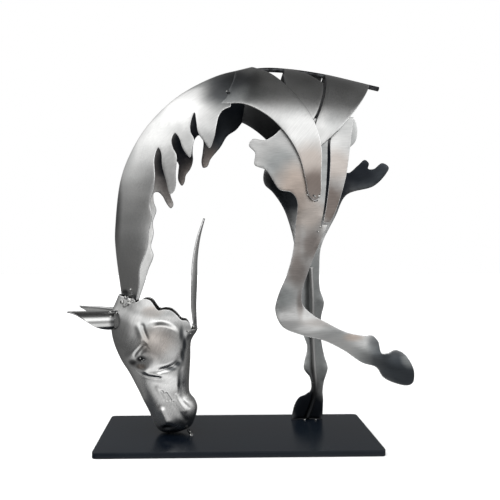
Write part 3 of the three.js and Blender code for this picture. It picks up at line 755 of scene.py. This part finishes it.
# painted light on the near leg: pale along the knee and cannon is a painted highlight, grey is painted shade,
# tan and brown are partly heat tint and partly painted warm reflection; slate at the hoof is its dark paint,
# and grey at the hoof's upper rear is a painted highlight
legNearSteel = brushedSteel("legNearSteel", turn=0.05, tone=0.8, paintedLightAndTints=[
    ("grey", 44, 300, 26, 28, 0.85), ("tan", 60, 280, 28, 32, 0.95), ("brown", 62, 268, 16, 22, 0.35),
    ("grey", 90, 300, 9, 60, 0.6), ("tan", 74, 248, 26, 26, 0.65), ("brown", 77, 218, 20, 26, 0.8),
    ("brown", 62, 222, 8, 40, 0.5), ("brown", 63, 190, 18, 26, 0.75), ("grey", 49, 162, 17, 17, 0.95),
    ("brown", 66, 156, 6, 22, 0.6), ("grey", 41, 148, 7, 14, 0.7), ("pale", 50, 141, 14, 7, 0.8),
    ("pale", 74, 128, 18, 6, 0.7), ("brown", 92, 134, 34, 7, 0.45), ("grey", 110, 125, 40, 12, 0.4),
    ("tan", 122, 119, 16, 7, 0.8), ("slate", 147, 111, 14, 18, 0.75), ("grey", 138, 98, 26, 18, 0.7),
    ("slate", 178, 82, 44, 34, 1.0), ("slate", 158, 92, 34, 32, 0.8), ("grey", 183, 96, 12, 13, 0.6)])
# painted shade on the far leg: slate, black and grey darken it, slate and black only on the faces towards the
# near side; hoof is the hoof's black paint
legFarSteel = brushedSteel("legFarSteel", turn=0.3, inner=("slate", "black"), paintedLightAndTints=[
    ("slate", 60, 280, 50, 60, 1.0), ("black", 138, 302, 60, 44, 0.75), ("slate", 165, 302, 60, 44, 1.0),
    ("grey", 95, 160, 60, 90, 0.9), ("grey", 96, 80, 60, 60, 0.9), ("black", 150, 304, 34, 26, 0.8),
    ("black", 112, 300, 40, 90, 1.0), ("hoof", 88, 15, 44, 56, 1.0)])
# grey, tan and brown darken the triceps downwards: partly heat tint, mostly painted shade
tricepsSteel = brushedSteel("tricepsSteel", turn=0.05, paintedLightAndTints=[
    ("grey", 112, 344, 26, 16, 0.35), ("tan", 104, 300, 26, 24, 0.6), ("brown", 98, 262, 30, 40, 0.95)])
leg = limbPiece("leg_near", near, legNear, legNearSteel, 11)
# the near leg's edge beside the triceps is painted dark as the shadow in the slit
recolourRim(leg, darkBarAndShadeSteel, lambda centre, normal: centre[2] > 238 and centre[0] > 86)
farLeg = limbPiece("leg_far", far, legFar, legFarSteel, 12)
# the far leg's top edges are painted dark as shade, and its hoof edges dark as the hoof's paint
recolourRim(farLeg, darkBarAndShadeSteel, lambda centre, normal: centre[2] < 36 or centre[2] > 230)
strap = limbPiece("triceps_near", near, triceps, tricepsSteel, 13, 0.1)
# the triceps' front edge is painted dark as the shadow in the slit beside the leg
recolourRim(strap, darkBarAndShadeSteel, lambda centre, normal: normal.x < -0.3)
recolourRim(strap, tricepsSteel, lambda centre, normal: normal.z < -0.7 and centre[2] < 245)
# painted shade inside the far triceps: black on the faces towards the near side, grey at its lobe
tricepsFarSteel = brushedSteel("tricepsFarSteel", turn=0.05, inner=allLightAndTintKinds, paintedLightAndTints=[
    ("black", 112, 300, 30, 110, 1.0), ("black", 104, 250, 26, 60, 1.0), ("grey", 138, 350, 18, 30, 0.5)])
limbPiece("triceps_far", far, tricepsFar, tricepsFarSteel, 14, 0.1)
print("limbs done")

# The head is a pressed shell with raised cheeks, brows, crests and lips
headShape = {
    # front x and z, jaw x and z, half width
    "stations": [
        (-129, 168, -46, 142, 23), (-136, 152, -43.5, 123, 25), (-141.3, 137, -51, 108, 26.5),
        (-139, 112, -52, 88, 28), (-130.5, 90, -53, 70, 26.5), (-121, 74, -53.5, 56, 22),
        (-112.6, 58, -52.3, 47.5, 20), (-105, 42, -46.8, 40.5, 18.8), (-98.4, 29, -44.2, 32.5, 18.2),
        (-93.6, 16.7, -46, 23, 16.8), (-87.5, 7.8, -50.5, 12.5, 13), (-79.5, 4.8, -60, 7, 7),
    ],
    "roundness": 2.4,
    "rows": 150,
    "around": 240,
    "openPart": 0.35,  # how far down the stations the open top reaches at most
    "tries": 500,
    "scallop": [
        (-111, 153.5), (-103, 158), (-95, 156.5), (-90, 150), (-86, 145.5), (-80, 146.5), (-73, 145.5),
        (-66, 140), (-61, 134.5), (-55.5, 133.5), (-51.5, 128.5), (-50, 122.8),
    ],
    "farShift": (-1.5, -2.5),
    "ripple": (30, 0.12),
    "disc": {"centre": (-84, 107.8), "height": 2.6, "edge": (20.5, 26.5), "fade": (8, 34),
             "groove": (27.4, 2.2), "grooveDepth": (0.1, 1.8)},
    # relief in mm, then for a ridge its width and line, or for a hill x, z, half width, half height and turn
    "relief": [
        # crease and streak in front of the disc, brow, eye and its corner
        (-0.8, 1.8, [(-102.8, 129), (-101.8, 124), (-98.8, 117)]), (0.6, 3.0, [(-107.8, 128), (-103.8, 118)]),
        (0.9, 3.6, [(-104, 112), (-112, 102), (-122, 92.5)]),
        (-1.4, 1.0, [(-100.8, 110.3), (-109.8, 100.3), (-111.8, 97.3)]),
        (-0.7, 0.9, [(-97.5, 107.5), (-105, 99.5)]),
        (-2.2, -104, 92.6, 9.5, 5.4, 0.15), (2.0, -103.2, 92.8, 4.2, 2.6, 0.15), (-1.2, -114.5, 88.5, 4, 3, 0),
        (0.8, -98, 81.8, 4.5, 2.5, 0.4), (-0.9, -84.9, 78.5, 1.6, 1.6, 0),
        # face crest
        (-0.8, 1.1, [(-109, 79.5), (-104.5, 75.5), (-96.5, 73), (-85, 72)]),
        (0.9, 2.2, [(-107, 82), (-96, 76.5), (-84, 75)]),
        # jaw: two hollows with a rib between
        (-1.7, 2.0, [(-60.1, 82.4), (-63.1, 77), (-62.3, 64.6), (-63.1, 54.6)]),
        (1.5, 1.7, [(-58.6, 80.5), (-58.4, 66)]), (-0.9, 1.2, [(-55.2, 75), (-55.6, 59)]),
        # creases over the nostril, lips, nostril
        (-0.9, 1.4, [(-82.5, 55.5), (-77, 45.7)]), (-0.8, 1.4, [(-77.5, 53), (-73, 45.7)]),
        (0.4, 2.6, [(-87, 60), (-80, 48)]), (1.1, 2.6, [(-60.5, 55), (-56, 46), (-49.2, 39.7)]),
        (-0.9, 1.7, [(-64, 52), (-59.5, 43), (-53, 36)]), (0.9, 2.4, [(-67, 51), (-62, 41), (-57, 33.5)]),
        (-0.9, 3.0, [(-70, 42), (-64, 31), (-56, 22)]), (2.4, 4.2, [(-83, 33), (-78, 22)]),
        (1.2, -78, 15, 9, 5.5, 0.1), (-3.0, -78, 14.4, 7, 2.8, 0.1),
    ],
}


def hill(x, z, cx, cz, rx, rz, turn):
    # 1 in the middle, with soft sides
    c, s = math.cos(turn), math.sin(turn)
    dx, dz = (x - cx) * c + (z - cz) * s, -(x - cx) * s + (z - cz) * c
    return np.exp(-(dx / rx) ** 2 - (dz / rz) ** 2)


def ridge(x, z, width, line):
    best = np.full(np.shape(x), np.inf)
    for (ax, az), (bx, bz) in zip(line, line[1:]):
        dx, dz = bx - ax, bz - az
        t = np.clip(((x - ax) * dx + (z - az) * dz) / (dx * dx + dz * dz), 0, 1)
        best = np.minimum(best, (x - ax - t * dx) ** 2 + (z - az - t * dz) ** 2)
    return np.exp(-best / width ** 2)


def easeBetween(start, end, value):
    t = np.clip((value - start) / (end - start), 0, 1)
    return t * t * (3 - 2 * t)


def headRelief(x, z):
    disc = headShape["disc"]
    dx, dz = x - disc["centre"][0], z - disc["centre"][1]
    radius = np.hypot(dx, dz)
    # the cheek disc stands out along its top, rear and lower edge and fades into the face in front
    clear = easeBetween(-0.55, 0.1, (dx * 0.97 + dz * 0.25) / np.maximum(radius, 1))
    sharp, soft = (1 - easeBetween(*disc[kind], radius) for kind in ("edge", "fade"))
    relief = disc["height"] * (sharp * clear + soft * (1 - clear))
    # its groove is deep below and shallow at the top
    low = easeBetween(0.75, 0.1, dz / np.maximum(radius, 1))
    least, more = disc["grooveDepth"]
    middle, width = disc["groove"]
    relief -= (least + more * low) * clear * np.exp(-((radius - middle) / width) ** 2)
    for height, *shape in headShape["relief"]:
        relief += height * (ridge if len(shape) == 2 else hill)(x, z, *shape)
    return relief


def headPoints(t, angle):
    fx, fz, jx, jz, width = catmull(headShape["stations"], t).T
    front, jaw = np.column_stack([fx, fz]), np.column_stack([jx, jz])
    power = 2 / headShape["roundness"]
    c, s = np.cos(angle), np.sin(angle)
    c, s = np.sign(c) * np.abs(c) ** power, np.sign(s) * np.abs(s) ** power
    flat = (front + jaw) / 2 + (front - jaw) / 2 * c[:, None]
    y = s * (width + headRelief(flat[:, 0], flat[:, 1]) * np.abs(s) ** 3)
    return np.column_stack([flat[:, 0], y, flat[:, 1]])


def headPiece(material):
    around, rows, openPart = headShape["around"], headShape["rows"], headShape["openPart"]
    angles = 2 * math.pi * np.arange(around) / around
    tries = np.linspace(0, openPart, headShape["tries"])
    starts = []
    for angle in angles:
        shift = (0, 0) if math.sin(angle) < 0 else headShape["farShift"]
        scallop = smoothLine(np.array(headShape["scallop"]) + shift, 1.0)
        line = np.vstack([[(-160, 167), (-112, 157)], scallop, [(-35, 122.8)]])
        path = headPoints(tries, np.full(len(tries), angle))
        under = np.nonzero(path[:, 2] < np.interp(path[:, 0], line[:, 0], line[:, 1]))[0]
        starts.append(tries[under[0]] if len(under) else openPart)
    starts = np.array(starts)
    points = np.vstack([headPoints(starts + (1 - starts) * (i / rows), angles) for i in range(rows + 1)])
    size, depth = headShape["ripple"]
    points[:, 1] += waves(points, size, 21) * depth * np.sign(points[:, 1])
    last = rows * around
    points = np.vstack([points, points[last:].mean(0)])
    faces = ringFaces(rows + 1, around)
    faces += [(last + j, last + (j + 1) % around, last + around) for j in range(around)]
    if (triangleNormals(points, faces) * (points - points.mean(0))).sum() < 0:
        faces = [f[::-1] for f in faces]
    normals = triangleNormals(points, faces)
    solid, solidFaces, edgeFrom = thicken(points - normals * common["sheet"] / 2, faces, normals=normals)
    return makeObject("head", "head", solid, solidFaces, material, edgeFrom=edgeFrom)


# painted light on the head: pale spots are painted highlights, tan and grey are painted reflection and shade,
# slate along the cheek disc's rear and the jaw grooves is painted shade, black at the eye and its corner is
# painted shade in the hollows, and slate at the muzzle and nostril is partly dark patina and partly painted
# shade
headSteel = brushedSteel("headSteel", turn=1.2, roughness=(0.20, 0.32), grain=0.10, paintedLightAndTints=[
    ("pale", -80, 62, 46, 44, 0.9), ("pale", -76, 92, 26, 15, 0.8), ("pale", -80, 134, 24, 6, 0.6),
    ("pale", -120, 122, 24, 34, 0.5), ("pale", -80, 33, 18, 14, 0.9), ("grey", -100, 119, 13, 20, 0.8),
    ("tan", -92, 144, 16, 8, 0.6), ("tan", -86, 111, 28, 24, 0.55), ("tan", -104.8, 84.6, 7, 4, 0.8),
    ("grey", -121, 70, 7, 20, 0.3), ("grey", -108, 48, 6, 18, 0.3),
    ("slate", -61, 119, 4, 14, 0.85), ("slate", -58, 107, 3.6, 16, 0.95), ("slate", -60, 95, 4, 14, 0.95),
    ("slate", -65, 86.5, 7, 6, 0.95), ("slate", -72, 81.6, 10, 4, 0.9), ("pale", -51.5, 104, 4, 34, 0.6),
    ("grey", -84, 143, 34, 6, 0.5), ("slate", -62.6, 66, 4.5, 24, 0.8), ("black", -103.6, 92.8, 9, 5, 0.95),
    ("black", -114.5, 89, 6, 5, 0.8), ("slate", -80, 10, 34, 8, 0.8), ("slate", -56, 22, 14, 12, 0.6),
    ("slate", -78, 14.4, 10, 4.5, 0.95),
])
headPiece(headSteel)
print("head done")


# Ears and throat strip are sheets bent on a grid
def gridPiece(name, surface, rows, columns, outwardAt, material):
    a, b = np.meshgrid(np.linspace(0, 1, rows + 1), np.linspace(0, 1, columns + 1), indexing="ij")
    points = surface(a.ravel(), b.ravel())
    wide = columns + 1
    faces = [(i * wide + j, (i + 1) * wide + j, (i + 1) * wide + j + 1, i * wide + j + 1)
             for i in range(rows) for j in range(columns)]
    if (triangleNormals(points, faces) * outwardAt(points)).sum() < 0:
        faces = [f[::-1] for f in faces]
    solid, solidFaces, edgeFrom = thicken(points, faces)
    return makeObject(name, name, solid, solidFaces, material, edgeFrom=edgeFrom)


# Down the ear: x, z and y, and the angles in degrees of its upper and lower edge round that line
ear = {
    "line": [(-134, 133.8, 14), (-150, 133.9, 19), (-167, 134.2, 24), (-183.5, 134.6, 28.3)],
    "radius": 9.9,
    "upper": [-25, -20, -12, -3],
    "lower": {near: [185, 138, 68, 6], far: [185, 150, 112, 40]},
}


def earSurface(side):
    rows = [(x, z, side * y, upper, lower) for (x, z, y), upper, lower
            in zip(ear["line"], ear["upper"], ear["lower"][side])]

    def surface(a, b):
        x, z, y, upper, lower = catmull(rows, a).T
        angle = np.radians(upper * (1 - b) + lower * b)
        return np.column_stack([x, y + side * ear["radius"] * np.sin(angle), z + ear["radius"] * np.cos(angle)])

    def outward(points):
        a = (points[:, 0] - ear["line"][0][0]) / (ear["line"][-1][0] - ear["line"][0][0])
        x, z, y, _, _ = catmull(rows, a).T
        return points - np.column_stack([x, y, z])
    return surface, outward


strip = {
    "line": [(-48.2, 124.4), (-50.7, 148), (-50.5, 175), (-49, 200), (-44.5, 224), (-37, 246.5)],
    "halfWidth": [6, 9.5, 11, 9, 6, 2],
    "dish": 5.6,
}


def stripSurface(a, b):
    x, z, width = catmull([(*p, w) for p, w in zip(strip["line"], strip["halfWidth"])], a).T
    part = 2 * b - 1
    bulge = strip["dish"] * (width / max(strip["halfWidth"])) * (1 - part ** 2)
    return np.column_stack([x + bulge, part * width, z])


# black at the ear's root is painted shadow in the gap against the head
earSteel = brushedSteel("earSteel", roughness=(0.16, 0.25), grain=0.08, tone=1.15, paintedLightAndTints=[
    ("black", -134, 132, 7, 18, 0.8)])
# pale on the throat strip is a painted highlight, and slate at its foot is painted shade
stripSteel = brushedSteel("stripSteel", turn=1.5, roughness=(0.2, 0.32), grain=0.12, paintedLightAndTints=[
    ("pale", -46, 222, 20, 44, 0.9), ("slate", -52, 128, 14, 12, 0.7)])
for suffix, side in (("near", near), ("far", far)):
    surface, outward = earSurface(side)
    shell = gridPiece(f"ear_{suffix}", surface, 40, 28, outward, earSteel)
    # the ears' cut edges near the root are painted dark as that shadow
    recolourRim(shell, darkBarAndShadeSteel, lambda centre, normal: centre[0] > -140)
gridPiece("throat_strip", stripSurface, 60, 14, lambda p: np.tile([1.0, 0, 0], (len(p), 1)), stripSteel)
print("ears and throat strip done")


def tube(points, radii, around):
    # positions and faces of a round bar with flat ends
    along = unit(np.gradient(points, axis=0))
    sideways = unit(np.cross(along, (0.13, 0.99, 0.05)))
    other = np.cross(along, sideways)
    rings = []
    for j in range(around):
        angle = 2 * math.pi * j / around
        offset = sideways * (np.cos(angle) * radii)[:, None] + other * (np.sin(angle) * radii)[:, None]
        rings.append(points + offset)
    faces = ringFaces(len(points), around)
    faces.append(tuple(reversed(range(around))))
    faces.append(tuple((len(points) - 1) * around + j for j in range(around)))
    return np.stack(rings, axis=1).reshape(-1, 3), faces


def barPiece(name, line, radius, material):
    path = evenly(catmull(line, np.linspace(0, 1, 200)), bars["step"])
    ends = [path[a] + (path[b] - path[a]) * bars["chamferShare"] for a, b in ((0, 1), (-1, -2))]
    path = np.vstack([path[:1], ends[:1], path[1:-1], ends[1:], path[-1:]])
    radii = np.full(len(path), radius)
    radii[[0, -1]] -= bars["chamfer"]
    positions, faces = tube(path, radii, bars["around"])
    return makeObject(name, name, positions, faces, material)


bars = {
    "radius": 2.5,
    "around": 20,
    "step": 2.0,
    "chamfer": 0.5,
    "chamferShare": 0.15,  # of a step
    "spineStart": 0.706,   # the spine bar follows the ridge from this share of the crest on
    "spineBelow": 1.6,
    "spineEnd": (161.5, 0, 392.9),
    "leg": [(91, 33.5, 190), (93, 34.5, 150), (94, 37, 110), (96, 38.5, 75), (98, 39.5, 48), (97, 41, 33),
            (93, 41.3, 18), (88, 41.3, groundHeight + 1)],
    "chin": [(-50.6, -11, groundHeight + 1.3), (-52.6, -9.5, 7.6), (-54.3, -8, 9.4)],
    "chinRadius": 1.8,
}
rodSteel = brushedSteel("rodSteel", turn=1.57, tone=0.8, paintedLightAndTints=[("black", 92, 14, 50, 60, 0.95)])
spineLine = flankPoint(np.linspace(bars["spineStart"], 1, 7), np.full(7, bars["spineBelow"]), near)
spineLine[:, 1] = 0
barPiece("spine_bar", np.vstack([spineLine, bars["spineEnd"]]), bars["radius"], darkBarAndShadeSteel)
barPiece("leg_rod", bars["leg"], bars["radius"], rodSteel)
barPiece("chin_post", bars["chin"], bars["chinRadius"], darkBarAndShadeSteel)
print("bars done")

# Welds by the piece they sit on: x, z, length, width, height and turn in degrees
welds = {
    "lumps": 0.16,
    "rings": 10,
    "around": 18,
    "near": [
        ("shoulder_band_near", [(-10.5, 380, 4.5, 2.4, 1.3, 10)]),
        ("leg_near", [(74, 270, 5, 2.4, 1.4, 20), (77.5, 265.5, 4.5, 2.4, 1.6, -35),
                      (82, 263.5, 5, 2.6, 1.6, 15)]),
        ("shoulder_band_near", [(84, 267.5, 4.5, 2.6, 1.4, 80), (79, 268, 4, 2, 1, -30)]),
        ("leg_near", [(87.5, 236.5, 3.6, 2.4, 1.4, 40), (84.5, 231, 1.8, 1.6, 0.8, 0)]),
        ("head", [(-101.5, 92.4, 2.2, 1.8, 1, 0), (-105.2, 93.6, 2, 1.6, 1, 30),
                  (-103.4, 91, 1.6, 1.2, 0.8, 0)]),
        ("neck_near", [(-117.2, 167.5, 3, 1.8, 1.2, 60), (-115.5, 162.5, 3.4, 2.2, 1.4, 80),
                       (-114.5, 157.5, 3, 2, 1.4, 20), (-121, 158, 4, 2.4, 1.2, 30)]),
        ("head", [(-122, 158.5, 6, 3.6, 1.8, -25), (-117.5, 156, 6, 3.4, 1.6, 30),
                  (-113.5, 154.5, 5, 3, 1.5, -40), (-127, 154, 7.5, 5, 0.7, -30),
                  (-123, 150.5, 7.5, 5.5, 0.6, 20), (-119, 152.5, 7, 5, 0.6, 50),
                  (-133, 141.5, 4.4, 2.6, 1.5, 60), (-134.5, 136.5, 4.4, 2.4, 1.5, 85),
                  (-131, 144.5, 4, 2.4, 1.4, 20)]),
        ("ear_near", [(-138, 143.2, 4.4, 2.2, 1, 5), (-137.5, 139, 3, 1.8, 0.9, 30)]),
        ("head", [(-54, 121.5, 5, 2.6, 1.6, -20), (-51.5, 118.5, 4, 2.4, 1.4, 30)]),
        ("throat_strip", [(-48.5, 124.6, 4.4, 3.4, 1.8, 80)]),
        ("leg_far", [(93, 104, 4.6, 3, 1.6, 15), (95.5, 48, 5, 3, 1.6, 0)]),
    ],
    # at the standing hoof, the chin post and the throat strip's foot: x, y, z, length, width, height
    "foot": [(84.3, 38.6, 4.4, 3, 1.6, 1.2), (98, 38.2, 4.4, 3.2, 1.6, 1.2),
             (-50.4, -12.4, 4.6, 4.4, 3.6, 1.8), (-52.3, -11.2, 7.4, 3, 2.6, 2.8),
             (-46.5, -3, 124.2, 5, 4, 2.2), (-47.3, -3, 126.6, 4.6, 3.4, 2.2)],
}


def weldDrop(centre, normal, turn, length, width, height, seed):
    # a lumpy drop, half sunk in the surface under it
    normal = np.array(normal) / np.linalg.norm(normal)
    along = np.cross(normal, (0, 0, 1)) if abs(normal[2]) < 0.9 else np.array([1.0, 0, 0])
    along /= np.linalg.norm(along)
    across = np.cross(normal, along)
    c, s = math.cos(math.radians(turn)), math.sin(math.radians(turn))
    along, across = along * c + across * s, across * c - along * s
    rings, around = welds["rings"], welds["around"]
    spots = [(0, 0, 1)]
    for polar in math.pi * np.arange(1, rings) / rings:
        spots += [(math.sin(polar) * math.cos(angle), math.sin(polar) * math.sin(angle), math.cos(polar))
                  for angle in 2 * math.pi * np.arange(around) / around]
    spots = np.array(spots + [(0, 0, -1)])
    spots = spots * (1 + welds["lumps"] * waves(spots, 1.6, seed))[:, None] * (length / 2, width / 2, height)
    points = np.array(centre) + spots @ np.array([along, across, normal])
    last = len(points) - 1
    faces = [(0, 1 + j, 1 + (j + 1) % around) for j in range(around)]
    faces += [(1 + a, 1 + d, 1 + c, 1 + b) for a, b, c, d in ringFaces(rings - 1, around)]
    faces += [(last, last - around + (j + 1) % around, last - around + j) for j in range(around)]
    return points, faces


def weldPiece():
    drops = [((x, y, z), (0, -0.7, 0.7), 0, length, width, height)
             for x, y, z, length, width, height in welds["foot"]]
    for name, rows in welds["near"]:
        mesh = bpy.data.objects[name].data
        tree = BVHTree.FromPolygons([v.co / mm for v in mesh.vertices], [p.vertices for p in mesh.polygons])
        for x, z, length, width, height, turn in rows:
            start = Vector((x, -80, z)) + Vector(common["stand"])
            spot, normal, _, _ = tree.ray_cast(start, Vector((0, 1, 0)))
            drops.append((spot - Vector(common["stand"]), normal, turn, length, width, height))
    points, faces, count = [], [], 0
    for seed, drop in enumerate(drops):
        dropPoints, dropFaces = weldDrop(*drop, seed)
        points.append(dropPoints)
        faces += [tuple(count + v for v in face) for face in dropFaces]
        count += len(dropPoints)
    return makeObject("welds", None, np.vstack(points), faces, weldSteel)


weldPiece()
print("welds done")

plinth = {"length": 304.8, "width": 125, "thickness": 6.35, "corner": 5, "edge": 0.6}


def plinthPiece():
    corner, bevel = plinth["corner"], plinth["edge"]
    x, y = plinth["length"] / 2 - corner, plinth["width"] / 2 - corner
    levels = [(bevel * (1 - math.cos(angle)), bevel * (1 + math.sin(angle)))
              for angle in np.radians((-90, -60, -30, 0))]
    levels += [(inset, plinth["thickness"] - z) for inset, z in reversed(levels)]
    corners = [(cx * x, cy * y, math.radians(degrees))
               for cx, cy, start in ((1, 1, 0), (-1, 1, 90), (-1, -1, 180), (1, -1, 270))
               for degrees in np.linspace(start, start + 90, 9)]
    positions = [(cx + (corner - inset) * math.cos(angle), cy + (corner - inset) * math.sin(angle), z)
                 for inset, z in levels for cx, cy, angle in corners]
    around = len(corners)
    faces = [tuple(reversed(range(around))), *ringFaces(len(levels), around)]
    faces.append(tuple((len(levels) - 1) * around + j for j in range(around)))
    piece = makeObject("base_plate", "base_plate", positions, faces, plinthPaint, stand=(0, 0, 0))
    for polygon in piece.data.polygons:
        polygon.use_smooth = len(polygon.vertices) == 4
    return piece


plinthPiece()
print("plinth done")

studio = {
    "floorSize": 6.0,
    "floorColour": (0.92, 0.92, 0.92),
    "sunStrength": 3.0,
    "sunSpread": 60,
    "sunTilt": (12, -8, 0),
    # light from straight below, 0, to straight above, 1: on the near side, at the left and behind
    "frontSky": [
        (0.00, 1.00), (0.20, 1.00), (0.32, 0.40), (0.42, 0.40), (0.50, 0.65), (0.56, 1.40), (0.64, 1.80),
        (0.72, 1.50), (0.80, 0.80), (0.88, 0.12), (1.00, 0.04),
    ],
    "leftSky": [
        (0.00, 0.40), (0.30, 0.10), (0.42, 0.12), (0.50, 0.15), (0.58, 0.24), (0.65, 0.60), (0.74, 1.15),
        (0.92, 1.90), (0.97, 1.20), (1.00, 0.04),
    ],
    "backSky": [
        (0.00, 0.03), (0.40, 0.09), (0.52, 0.18), (0.70, 0.25), (1.00, 0.05),
    ],
    "towardsBack": (0.9, 0.45),   # slope and start of the change from one to the other
    "towardsLeft": (-2.8, -0.5),
}
camera = {
    "place": (-0.0296, -0.645, 0.22435),
    "turn": (89, 0, -1.4),
    "lens": 41.04,
    "shift": 0.0502,
}


def floorPiece():
    bpy.ops.mesh.primitive_plane_add(size=studio["floorSize"], location=(0, 0, 0))
    floor = bpy.context.object
    floor.name = "floor"
    material, _, shader = nodeTree("paleFloor")
    shader.inputs["Base Color"].default_value = (*studio["floorColour"], 1)
    shader.inputs["Roughness"].default_value = 0.9
    shader.inputs["Specular IOR Level"].default_value = 0.0
    floor.data.materials.append(material)
    floor.visible_glossy = False


def worldLight():
    world = bpy.data.worlds.new("studio")
    world.use_nodes = True
    bpy.context.scene.world = world
    tree = world.node_tree
    background = tree.nodes["Background"]
    direction = addNode(tree, "ShaderNodeTexCoord").outputs["Generated"]
    parts = addNode(tree, "ShaderNodeSeparateXYZ", {0: direction})
    height = maths(tree, "MULTIPLY_ADD", parts.outputs["Z"], 0.5, 0.5)
    front, left, back = (ramp(tree, height, [(at, (level, level, level)) for at, level in studio[side]])
                         for side in ("frontSky", "leftSky", "backSky"))
    backwards = maths(tree, "MULTIPLY_ADD", parts.outputs["Y"], *studio["towardsBack"], clamp=True)
    leftwards = maths(tree, "MULTIPLY_ADD", parts.outputs["X"], *studio["towardsLeft"], clamp=True)
    sky = mixColour(tree, leftwards, mixColour(tree, backwards, front, back), left)
    seen = addNode(tree, "ShaderNodeLightPath").outputs["Is Camera Ray"]
    colour = mixColour(tree, seen, sky, (1, 1, 1, 1))
    tree.links.new(colour, background.inputs["Color"])


def sunLight():
    light = bpy.data.lights.new("floorSun", "SUN")
    light.energy = studio["sunStrength"]
    light.angle = math.radians(studio["sunSpread"])
    lamp = bpy.data.objects.new("floorSun", light)
    lamp.rotation_euler = [math.radians(degrees) for degrees in studio["sunTilt"]]
    lamp.visible_glossy = False
    bpy.context.collection.objects.link(lamp)


def viewCamera():
    data = bpy.data.cameras.new("camera")
    data.lens, data.sensor_width = camera["lens"], 36.0
    data.shift_x = camera["shift"]
    data.clip_start, data.clip_end = 0.05, 50
    viewer = bpy.data.objects.new("camera", data)
    viewer.location = camera["place"]
    viewer.rotation_euler = [math.radians(degrees) for degrees in camera["turn"]]
    bpy.context.collection.objects.link(viewer)
    bpy.context.scene.camera = viewer


floorPiece()
worldLight()
sunLight()
viewCamera()
bpy.context.scene.view_settings.view_transform = "Standard"
print("studio ready")
